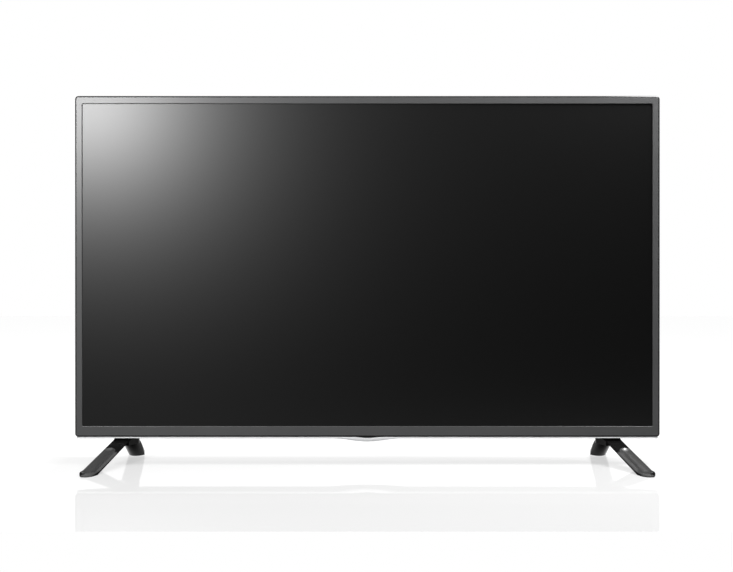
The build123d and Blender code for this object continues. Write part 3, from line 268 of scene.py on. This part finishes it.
def make_screen_finish():
    """Near-black film over glass: the haze of its grain blurs what it reflects."""
    finish = Finish("screen_film", Specular_IOR_Level=0.58)
    grain = finish.noise(scale=7000.0, detail=1.0)
    finish.feed("Base Color", finish.blend(grain, grey(0.0010), grey(0.0018)))
    finish.feed("Roughness", finish.by_noise(grain, 0.315, 0.335))
    return finish


def make_strip_finish():
    """Frosted acrylic whose nearly white base colour is painted light, with the slight waviness of
    a moulding.
    """
    finish = Finish("acrylic_painted_glow", IOR=1.49)
    wave = finish.noise(scale=60.0, detail=1.0)
    # Painted light: the nearly white base stands in for the light that the clear bar passes.
    finish.feed("Base Color", finish.blend(wave, grey(0.90, -0.01), grey(0.95, -0.01)))
    finish.feed("Roughness", finish.by_noise(wave, 0.40, 0.50))
    finish.bump(wave, 0.1 * MM, strength=0.1)
    return finish


# %% [markdown]
# ## The finishes of the feet and the back
# The feet are high gloss mouldings with a satin grey scooped panel in each front leg. Over the
# leg's inner rim and its tip a lighter satin grey is put on as a painted highlight, where the lamps
# glint.
# The back is a spark-eroded texture: a matte black with a fine pebble bump, which hides finger
# marks on the real set.


# %% Feet, rubber and back
LEG_START = (464.5 * MM, 11.6 * MM)          # x and y of a point on the leg's line in plan
LEG_SPLAY_SLOPE = 0.3255
LEG_KNEE = (-91.5 * MM, 8.0 * MM, 0.410)     # y, z and slope of the upper face over the scoop
LEG_TIP = (-120.5 * MM, 3.4 * MM, 0.159)     # the same for the face at the tip
HIGHLIGHT_RIM = 15.7 * MM
HIGHLIGHT_END = -38.0 * MM
HIGHLIGHT_FADE = 4.0 * MM
HIGHLIGHT_SKIN = 2.6 * MM
HIGHLIGHT_ROUGHNESS = 0.15
HAZE_PATCHES = (0.35, 0.75)
TIP_HIGHLIGHT = (3.0 * MM, 4.5 * MM)              # from the tip back, where the painted highlight fades out
INNER_TIP_HIGHLIGHT = (8.0 * MM, 12.0 * MM)       # the same on the tip's inner side
INNER_TIP_SIDE = (-8.0 * MM, -6.0 * MM)
SOFT = 0.5 * MM


def make_gloss_finish():
    """Black gloss with faint haze, and a painted highlight of satin grey over the leg's inner rim
    and its tip.

    The painted highlight lies where a point is near the leg's upper face z = max(knee line, tip
    line), on the inner side of the leg's line in plan, and before the leg's upper end.
    """
    finish = Finish("foot_gloss", Specular_IOR_Level=0.04, Coat_Roughness=0.04)
    haze = finish.noise(scale=35.0, detail=4.0)
    x, y, z = finish.axes()
    aside = x.size() - LEG_START[0] - (LEG_START[1] - y) * LEG_SPLAY_SLOPE
    knee_line = (y - LEG_KNEE[0]) * LEG_KNEE[2] + LEG_KNEE[1]
    tip_line = (y - LEG_TIP[0]) * LEG_TIP[2] + LEG_TIP[1]
    near_top = finish.span(z - knee_line.at_least(tip_line) + HIGHLIGHT_SKIN, 0.0, SOFT)
    inner = finish.span(aside, -HIGHLIGHT_RIM, SOFT - HIGHLIGHT_RIM) * finish.before(aside, 0.0, SOFT)
    rim_highlight = near_top * inner * finish.before(y, HIGHLIGHT_END, HIGHLIGHT_END + HIGHLIGHT_FADE)
    from_tip = y - LEG_TIP[0]
    inner_tip_highlight = finish.before(from_tip, *INNER_TIP_HIGHLIGHT) * finish.before(aside, *INNER_TIP_SIDE)
    # Painted highlight: a lighter satin grey on the inner rim and the tip, standing in for the
    # lamps' glint there.
    painted_highlight = rim_highlight.at_least(finish.before(from_tip, *TIP_HIGHLIGHT)).at_least(inner_tip_highlight)
    gloss = finish.blend(haze, grey(0.0045), grey(0.0085))
    finish.feed("Base Color", finish.blend(painted_highlight, gloss, grey(0.085)))
    finish.feed("Roughness", finish.span(haze, *HAZE_PATCHES, 0.10, 0.18) + painted_highlight * HIGHLIGHT_ROUGHNESS)
    finish.feed("Coat Weight", finish.by_noise(haze, 0.04, 0.01))
    return finish


def make_dish_finish():
    """Satin grey panel with a fine grain along its length."""
    finish = Finish("dish_satin", Metallic=0.6)
    grain = finish.noise(scale=900.0, detail=2.0, stretch=(1.0, 0.12, 1.0))
    finish.feed("Base Color", finish.blend(grain, grey(0.080), grey(0.112)))
    finish.feed("Roughness", finish.by_noise(grain, 0.27, 0.35))
    finish.bump(grain, 0.02 * MM, strength=0.3)
    return finish


def make_cover_finish():
    """Matte black with a pebbled mould texture."""
    finish = Finish("cover_texture", Specular_IOR_Level=0.4)
    pebble = finish.noise(scale=1500.0, detail=3.0)
    patch = finish.noise(scale=6.0, detail=3.0)
    finish.feed("Base Color", finish.blend(patch, grey(0.017), grey(0.024)))
    finish.feed("Roughness", finish.by_noise(pebble, 0.50, 0.66))
    finish.bump(pebble, 0.08 * MM, strength=0.6)
    return finish


def make_rubber_finish():
    """Dull black rubber with a powdery bloom."""
    finish = Finish("pad_rubber", Specular_IOR_Level=0.25)
    bloom = finish.noise(scale=120.0, detail=4.0)
    finish.feed("Base Color", finish.blend(bloom, grey(0.012), grey(0.030)))
    finish.feed("Roughness", finish.by_noise(bloom, 0.72, 0.88))
    finish.bump(bloom, 0.05 * MM, strength=0.4)
    return finish


def make_window_finish():
    """Smoked gloss that infrared light passes."""
    finish = Finish("smoked_window")
    haze = finish.noise(scale=80.0, detail=2.0)
    finish.feed("Base Color", finish.blend(haze, (0.010, 0.006, 0.007, 1.0), grey(0.010)))
    finish.feed("Roughness", finish.by_noise(haze, 0.08, 0.14))
    return finish


# %% [markdown]
# ## The finishes inside
# Nobody sees these until the cover is off, but each is what it is: zinc-coated steel with its
# crystals, green boards with their copper under the lacquer, black mouldings, white sheets and
# plated sockets. Patterns on Object coordinates need no unwrapping, so they suit CAD solids.


# %% Metals
def make_steel_finish():
    """Zinc coat: large dull crystals, each a little lighter or rougher than the next."""
    finish = Finish("zinc_steel", Metallic=1.0)
    crystal = finish.cells(scale=140.0)
    streak = finish.noise(scale=40.0, detail=3.0, stretch=(1.0, 1.0, 0.1))
    finish.feed("Base Color", finish.blend(crystal, grey(0.42), grey(0.58)))
    finish.feed("Roughness", finish.by_noise(streak, 0.34, 0.50))
    return finish


def make_bare_metal_finish(name, low, high, rough):
    """Bare metal with drawn lines."""
    finish = Finish(name, Metallic=1.0)
    drawn = finish.noise(scale=700.0, detail=2.0, stretch=(0.08, 1.0, 1.0))
    finish.feed("Base Color", finish.blend(drawn, low, high))
    finish.feed("Roughness", finish.by_noise(drawn, rough, rough + 0.12))
    finish.bump(drawn, 0.02 * MM, strength=0.3)
    return finish


# %% Boards, mouldings and sheets
LACQUER_GREEN, COPPER_GREEN = (0.010, 0.085, 0.030, 1.0), (0.030, 0.170, 0.060, 1.0)
LACQUER_CREAM, COPPER_CREAM = (0.42, 0.30, 0.13, 1.0), (0.50, 0.38, 0.19, 1.0)
AMBER_DARK, AMBER_LIGHT = (0.38, 0.19, 0.03, 1.0), (0.52, 0.28, 0.05, 1.0)
EDGE_OF_FIELD = (0.03, 0.05)
EDGE_OF_TRACK = (0.62, 0.68)


def make_board_finish(name, lacquer, copper):
    """A lacquered board: wide copper fields and thin tracks show through the lacquer."""
    finish = Finish(name, Specular_IOR_Level=0.5)
    field = finish.span(finish.cells(scale=70.0, feature="DISTANCE_TO_EDGE"), *EDGE_OF_FIELD)
    track = finish.node("ShaderNodeTexWave", {"bands_direction": "DIAGONAL"},
                        {"Vector": finish.place(), "Scale": 90.0, "Distortion": 4.0}, output=1)
    mask = finish.span(track, *EDGE_OF_TRACK) * field
    finish.feed("Base Color", finish.blend(mask, lacquer, copper))
    finish.feed("Roughness", finish.span(field, 0.0, 1.0, 0.42, 0.28))
    finish.bump(mask, 0.03 * MM, strength=0.5)
    return finish


def make_moulded_finish(name, low, high, rough):
    """A plain moulding: a soft mottle and a fine grain."""
    finish = Finish(name)
    mottle = finish.noise(scale=25.0, detail=3.0)
    grain = finish.noise(scale=1800.0, detail=2.0)
    finish.feed("Base Color", finish.blend(mottle, low, high))
    finish.feed("Roughness", finish.by_noise(grain, rough, rough + 0.1))
    finish.bump(grain, 0.03 * MM, strength=0.4)
    return finish


finishes = {
    "bezel_grey": make_bezel_finish(),
    "clear_plastic": make_strip_finish(),
    "window_dark": make_window_finish(),
    "screen": make_screen_finish(),
    "frame_black": make_moulded_finish("frame_moulding", grey(0.016), grey(0.024), 0.55),
    "soft_rubber": make_rubber_finish(),
    "white_sheet": make_moulded_finish("white_sheet", grey(0.74), grey(0.80), 0.45),
    "galvanised_steel": make_steel_finish(),
    "board_green": make_board_finish("green_board", LACQUER_GREEN, COPPER_GREEN),
    "board_cream": make_board_finish("cream_board", LACQUER_CREAM, COPPER_CREAM),
    "chip_black": make_moulded_finish("chip_moulding", grey(0.010), grey(0.018), 0.40),
    "sink_metal": make_bare_metal_finish("bare_aluminium", grey(0.62), grey(0.74), 0.32),
    "copper_amber": make_moulded_finish("amber_tape", AMBER_DARK, AMBER_LIGHT, 0.30),
    "socket_metal": make_bare_metal_finish("plated_socket", grey(0.66), grey(0.78), 0.16),
    "screw_metal": make_bare_metal_finish("blackened_steel", grey(0.05), grey(0.09), 0.34),
    "cover_black": make_cover_finish(),
    "foot_black": make_gloss_finish(),
    "dish_grey": make_dish_finish(),
    "cable_white": make_moulded_finish("cable_sleeve", grey(0.55, 0.02), grey(0.66, 0.02), 0.42),
    "jack_plastic": make_moulded_finish("jack_insert", grey(0.012), grey(0.020), 0.30),
}
print(len(finishes), "finishes")

# %% [markdown]
# ## Dressing the nodes
# The record says which slot each node takes. A node's own slots are filled with the finish of that
# name, so its mesh and place stay as they came.


# %% Dress every node
def dress_nodes():
    """Give each fixed solid the finish of its material slot."""
    dressed = 0
    for entry in frame["record"]["subparts"]:
        solid = bpy.data.objects.get(entry["node"])
        if solid is None:
            continue
        finish = finishes[entry["material_slot"]].material
        if not solid.material_slots:
            solid.data.materials.append(finish)
        for slot in solid.material_slots:
            slot.material = finish
        dressed += 1
    return dressed


print(dress_nodes(), "nodes dressed")

# %% [markdown]
# ## New surfaces from grids
# A moulded edge shows as a soft line of light, and a solid cut into flat facets loses it. The front
# frame and the pale strip are made again as skins over a grid of points, worked out with whole
# arrays: one axis runs round the piece, the other along its profile. Sculpting or a bevel modifier
# would do as well, but the formula keeps the edge radius exact and the mesh light.


# %% Closed skins over a grid
SHARP_ANGLE = math.radians(30.0)
SIDE_POINTS = 41
SIDE_GATHER = 3.0           # how much a long side's points gather at its middle
CORNER_POINTS = 7


def make_skin(name, grid, finish, looped):
    """A closed skin over a grid of rings, point (i, j) joined to (i + 1, j) and (i, j + 1).

    A looped grid joins its last ring to its first; any other gets a flat face on each end. The
    faces are turned so that the sum of p0 . (p1 x p2) over the triangles, the volume, is positive.
    """
    rings, around = grid.shape[:2]
    index = np.arange(rings * around).reshape(rings, around)
    first = index if looped else index[:-1]
    after = np.roll(index, -1, axis=0) if looped else index[1:]
    quads = np.stack([first, np.roll(first, -1, axis=1), np.roll(after, -1, axis=1), after],
                     axis=-1).reshape(-1, 4)
    ends = [] if looped else [index[0][::-1].copy(), index[-1].copy()]
    points = grid.reshape(-1, 3)
    corners = points[quads]
    middle = points.mean(axis=0)
    volume = sum(np.einsum("ij,ij->i", corners[:, 0] - middle,
                           np.cross(corners[:, a] - middle, corners[:, b] - middle)).sum()
                 for a, b in ((1, 2), (2, 3)))
    if volume < 0:
        quads = quads[:, ::-1]
        ends = [end[::-1] for end in ends]
    mesh = bpy.data.meshes.new(name)
    mesh.from_pydata(points.tolist(), [], quads.tolist() + [end.tolist() for end in ends])
    mesh.shade_smooth()
    mesh.set_sharp_from_angle(angle=SHARP_ANGLE)
    mesh.materials.append(finish.material)
    piece = bpy.data.objects.new(name, mesh)
    bpy.context.scene.collection.objects.link(piece)
    return piece


def spread(count, power=1.0):
    """Numbers from -1 to 1, t -> sign(t) |t|^power: a power over 1 gathers them in the middle."""
    t = np.linspace(-1.0, 1.0, count)
    return np.sign(t) * np.abs(t) ** power


def quarter(count, start):
    """Points on a quarter of the unit circle, from a start angle in quarters, without its ends."""
    angle = (start + np.linspace(0.0, 1.0, count + 2)[1:-1]) * math.pi / 2
    return np.cos(angle), np.sin(angle)


def rounded_ring(low, high, corner):
    """A rounded rectangle in X and Z: four straight sides, four quarter circles between them."""
    (left, bottom), (right, top) = low, high
    x_run = (left + right) / 2 + (right - left - 2 * corner) / 2 * spread(SIDE_POINTS, SIDE_GATHER)
    z_run = (bottom + top) / 2 + (top - bottom - 2 * corner) / 2 * spread(SIDE_POINTS)
    level = np.ones(SIDE_POINTS)
    runs = [(x_run, level * bottom), (level * right, z_run),
            (x_run[::-1], level * top), (level * left, z_run[::-1])]
    centres = [(right - corner, bottom + corner), (right - corner, top - corner),
               (left + corner, top - corner), (left + corner, bottom + corner)]
    parts = []
    for step, ((x, z), (cx, cz)) in enumerate(zip(runs, centres)):
        c, s = quarter(CORNER_POINTS, step - 1)
        parts += [np.stack([x, z], axis=-1), np.stack([cx + corner * c, cz + corner * s], axis=-1)]
    return np.concatenate(parts)


print("skins and rings ready")

# %% [markdown]
# ## The front frame
# The frame is one moulding with an L section: a front wall round the window and side walls behind
# it. Its outer edge rolls over in a quarter round, its window has a small lip, and its lower edge
# swells a little in the middle. The profile below walks once round that section.

# %% The front frame's skin
SIDE_BORDER = 13.8 * MM
TOP_BORDER = 15.0 * MM
BOTTOM_BORDER = 20.3 * MM
FRAME_CORNER = 6.5 * MM
WINDOW_CORNER = 2.0 * MM
FRAME_WALL = 2.2 * MM
EDGE_ROUND = 3.0 * MM
LIP_ROUND = 0.9 * MM
FLAT_MARGIN = 0.25 * MM
SWELL_HALF_WIDTH = 30.0 * MM
SET_LOW = 53.2 * MM
LEAST_CORNER = 0.4 * MM
ROUND_STEPS = 7


def swell(x, half_width):
    """A cosine hill, 1 at the middle and 0 from the half width on."""
    share = np.minimum(np.abs(x) / half_width, 1.0)
    return (1 + np.cos(math.pi * share)) / 2


def make_frame_skin():
    """Rings of rounded rectangles at each profile station (border ring, inset, depth)."""
    outer_low = np.array([bezel_box[0][0], SET_LOW])
    outer_high = np.array([bezel_box[1][0], bezel_box[1][2]])
    window_low = outer_low + (SIDE_BORDER, BOTTOM_BORDER)
    window_high = outer_high - (SIDE_BORDER, TOP_BORDER)
    front, back = bezel_box[0][1], bezel_box[1][1]
    turn = np.linspace(0.0, math.pi / 2, ROUND_STEPS)
    edge = [("outer", EDGE_ROUND * (1 - math.cos(a)), front + EDGE_ROUND * (1 - math.sin(a)))
            for a in turn]
    lip = [("window", LIP_ROUND * (1 - math.sin(a)), front + LIP_ROUND * (1 - math.cos(a)))
           for a in turn[::2]]
    flat = [("outer", EDGE_ROUND + FLAT_MARGIN, front), ("window", LIP_ROUND + FLAT_MARGIN, front)]
    inside = [("window", 0.0, front + FRAME_WALL), ("outer", FRAME_WALL, front + FRAME_WALL),
              ("outer", FRAME_WALL, back), ("outer", 0.0, back)]
    depth_of_swell = SET_LOW - bezel_box[0][2]
    rings = []
    for border, inset, y in edge + flat + lip + inside:
        if border == "outer":
            ring = rounded_ring(outer_low + inset, outer_high - inset,
                                max(FRAME_CORNER - inset, LEAST_CORNER))
            lowest = ring[:, 1] < SET_LOW + inset + LEAST_CORNER / 2
            ring[:, 1] -= lowest * depth_of_swell * swell(ring[:, 0], SWELL_HALF_WIDTH)
        else:
            ring = rounded_ring(window_low - inset, window_high + inset, WINDOW_CORNER + inset)
        rings.append(np.insert(ring, 1, y, axis=1))
    return make_skin("front_frame_skin", np.array(rings), finishes["bezel_grey"], looped=True)


frame_skin = make_frame_skin()
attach(frame_skin, "root")
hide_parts("front_bezel")
print("front frame:", len(frame_skin.data.polygons), "faces")

# %% [markdown]
# ## The pale strip
# Under the frame runs a thin bar of frosted acrylic that dips in the middle over the button. It
# stays light even in front of dark parts, from the light it carries, and that light is painted into
# a nearly white base colour. The section is a
# rounded wedge: its front leans back a little, near the frame's own face, and its rear face slopes.

# %% The pale strip's skin
strip_box = node_box["clear_trim_strip"]
STRIP_DIP_HALF_WIDTH = 68.0 * MM
STRIP_HEIGHT = 2.6 * MM
DIP_RAISE = 1.0 * MM
SWELL_GAP = 0.25 * MM
STRIP_STATIONS = 161
STRIP_GATHER = 2.2          # how much the stations gather at the dip
SECTION_POINTS = 28
SECTION_POWER = 0.35
FRONT_LEAN = 0.3 * MM
FRONT_FORWARD = 2.8 * MM
REAR_BEVEL = 3.2 * MM


def make_strip_skin():
    """Sections along X: a superellipse (u, v) laid bilinearly on a wedge of four corners.

    y = (1 - v)/2 * low_y(u) + (1 + v)/2 * high_y(u), and the same for z, for u and v in -1..1.
    """
    x = strip_box[1][0] * spread(STRIP_STATIONS, STRIP_GATHER)
    plain_low = SET_LOW - STRIP_HEIGHT
    dip_depth = plain_low - (strip_box[0][2] + DIP_RAISE)
    low = plain_low - dip_depth * swell(x, STRIP_DIP_HALF_WIDTH)
    swell_depth = SET_LOW - bezel_box[0][2] + SWELL_GAP
    high = SET_LOW - swell_depth * swell(x, SWELL_HALF_WIDTH + SWELL_GAP)
    angle = np.linspace(0.0, 2 * math.pi, SECTION_POINTS, endpoint=False)
    u, v = (np.sign(wave) * np.abs(wave) ** SECTION_POWER
            for wave in (np.cos(angle), np.sin(angle)))
    front, back = strip_box[0][1] - FRONT_FORWARD, strip_box[1][1]
    low_y = (front + FRONT_LEAN) * (1 - u) / 2 + back * (1 + u) / 2
    high_y = front * (1 - u) / 2 + (back - REAR_BEVEL) * (1 + u) / 2
    grid = np.empty((len(x), SECTION_POINTS, 3))
    grid[..., 0] = x[:, None]
    grid[..., 1] = (low_y * (1 - v) / 2 + high_y * (1 + v) / 2)[None, :]
    grid[..., 2] = low[:, None] * (1 - v[None, :]) / 2 + high[:, None] * (1 + v[None, :]) / 2
    return make_skin("clear_strip_skin", grid, finishes["clear_plastic"], looped=False)


strip_skin = make_strip_skin()
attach(strip_skin, "root")
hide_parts("clear_trim_strip")
print("pale strip:", len(strip_skin.data.polygons), "faces")

# %% [markdown]
# ## Floor and room
# The set stands on a white table top in front of white paper, in a studio that is dim where the
# camera stands. The camera sees the paper at full white. A mirrored ray sees white only straight
# behind the set and on the table from just behind it, so the screen and the feet stay dark. The
# table is a little glossy: it mirrors the set as a pale ghost and keeps a soft shadow round the
# feet. Behind the set and far to its sides the table's own light rises, so that it melts into the
# paper, and it ends before the feet, where the photograph's reflection is cut off too.

# %% White paper, dim studio
STUDIO_LIGHT = 0.04
GLOSS_BEHIND_STEP = (0.80, 0.92)
FLOOR_HALF = 6.0
FLOOR_FRONT = -0.512
FLOOR_GLOW_NEAR = 0.74
FLOOR_GLOW_FAR = 1.02
FLOOR_GLOW_STEP = (0.075, 0.120)
FLOOR_SIDE_STEP = (0.58, 0.72)
FLOOR_ALBEDO = 0.31
FLOOR_BOUNCE = 0.12
FLOOR_MIRROR = 0.24
FLOOR_BLUR = 0.03
FLOOR_IN_GLOSS = 0.10
GLOSS_STEP = (0.07, 0.10)


def seen_white(graph, gloss_share):
    """How white a ray sees the room: camera and transmitted rays fully, mirrored ones in part."""
    camera_ray, clear_ray, gloss_ray = (
        graph.node("ShaderNodeLightPath", output=f"Is {kind} Ray")
        for kind in ("Camera", "Transmission", "Glossy"))
    return camera_ray.at_least(clear_ray).at_least(gloss_ray * gloss_share)


def make_room():
    """The world: white to the camera, white behind the set in a mirrored ray, else dim."""
    world = bpy.data.worlds.new("studio_room")
    bpy.context.scene.world = world
    world.use_nodes = True
    graph = Graph(world.node_tree)
    _, backward, _ = graph.axes("Generated")
    white = seen_white(graph, graph.span(backward, *GLOSS_BEHIND_STEP))
    strength = graph.span(white, 0.0, 1.0, STUDIO_LIGHT, 1.0)
    background = graph.nodes["Background"]
    background.inputs["Color"].default_value = grey(1.0)
    graph.links.new(strength.socket, background.inputs["Strength"])


def make_table_material():
    """White paper light and a faint diffuse share that takes the shadow, under a thin gloss."""
    material = bpy.data.materials.new("white_table")
    material.use_nodes = True
    graph = Graph(material.node_tree)
    graph.nodes.remove(graph.nodes["Principled BSDF"])
    x, y, _ = graph.axes()
    away = graph.span(x.size(), *FLOOR_SIDE_STEP).at_least(graph.span(y, *FLOOR_GLOW_STEP))
    level = graph.span(away, 0.0, 1.0, FLOOR_GLOW_NEAR, FLOOR_GLOW_FAR)
    glow = graph.node("ShaderNodeEmission", {}, {"Color": level})
    paper = graph.node("ShaderNodeBsdfDiffuse", {}, {"Color": grey(FLOOR_ALBEDO)})
    lit = graph.node("ShaderNodeAddShader", {}, {0: glow, 1: paper})
    mirror = graph.node("ShaderNodeBsdfGlossy", {}, {"Roughness": FLOOR_BLUR})
    polished = graph.node("ShaderNodeMixShader", {}, {0: FLOOR_MIRROR, 1: lit, 2: mirror})
    plain = graph.node("ShaderNodeBsdfDiffuse", {}, {"Color": grey(FLOOR_BOUNCE)})
    white = seen_white(graph, graph.span(y, *GLOSS_STEP, FLOOR_IN_GLOSS))
    surface = graph.node("ShaderNodeMixShader", {}, {0: white, 1: plain, 2: polished})
    graph.links.new(surface.socket, graph.nodes["Material Output"].inputs["Surface"])
    return material


def make_table():
    """One large sheet at floor level, whose near edge lies before the feet."""
    near, far = FLOOR_FRONT, FLOOR_HALF
    corners = np.array([(-far, near, 0), (far, near, 0), (far, far, 0), (-far, far, 0)])
    mesh = bpy.data.meshes.new("table_top")
    mesh.from_pydata(corners.tolist(), [], [(0, 1, 2, 3)])
    mesh.materials.append(make_table_material())
    table = bpy.data.objects.new("table_top", mesh)
    bpy.context.scene.collection.objects.link(table)
    return table


make_room()
make_table()
print("room and table top made")

# %% [markdown]
# ## Lamps
# The screen shows where the main lamp is: the glow sits on its top left corner, so the lamp hangs
# where a mirror there would show it, high on the left beside the camera. Its size and the film's
# roughness give the glow its width. A wide softbox overhead lights the table and the upper faces,
# and two weak ones lift the bezel's right side and the fronts of the feet.

# %% Softboxes
MIRROR_SPOT_X = bezel_box[0][0] + 12.0 * MM
MIRROR_SPOT_Z = bezel_box[1][2] + 4.0 * MM
TOP_LEFT_CORNER = (bezel_box[0][0], 0.0, bezel_box[1][2])


def make_lamp(name, place, target, width, height, power):
    """A rectangular softbox at a place, turned towards a target."""
    light = bpy.data.lights.new(name, "AREA")
    light.shape = "RECTANGLE"
    light.size = width
    light.size_y = height
    light.energy = power
    lamp = bpy.data.objects.new(name, light)
    away = np.array(place, dtype=float) - np.array(target, dtype=float)
    flat = math.hypot(away[0], away[1])
    lamp.rotation_euler = (math.atan2(flat, away[2]), 0.0, math.atan2(away[0], -away[1]))
    lamp.location = place
    bpy.context.scene.collection.objects.link(lamp)
    return lamp


def mirrored_place(spot_x, spot_z):
    """Where a lamp hangs to show at a spot of the screen, as far from it as the camera."""
    eye = np.array(camera.location)
    spot = np.array((spot_x, bezel_box[0][1], spot_z))
    ray = spot - eye
    ray[1] = -ray[1]
    return spot + ray


key_place = mirrored_place(MIRROR_SPOT_X, MIRROR_SPOT_Z)
make_lamp("key_softbox", key_place, target=TOP_LEFT_CORNER,
          width=0.36, height=0.20, power=33.5)
make_lamp("right_softbox", (0.78, -0.14, 1.15), target=(0.45, 0.0, 0.60),
          width=0.5, height=0.3, power=13.0)
make_lamp("top_softbox", (0.0, -0.20, 2.60), target=(0.0, -0.20, 0.0),
          width=4.0, height=3.0, power=58.0)
make_lamp("front_softbox", (0.0, -2.6, 2.6), target=(0.0, 0.0, 0.3),
          width=2.4, height=1.0, power=12.0)
print("key lamp at", np.round(key_place, 2))
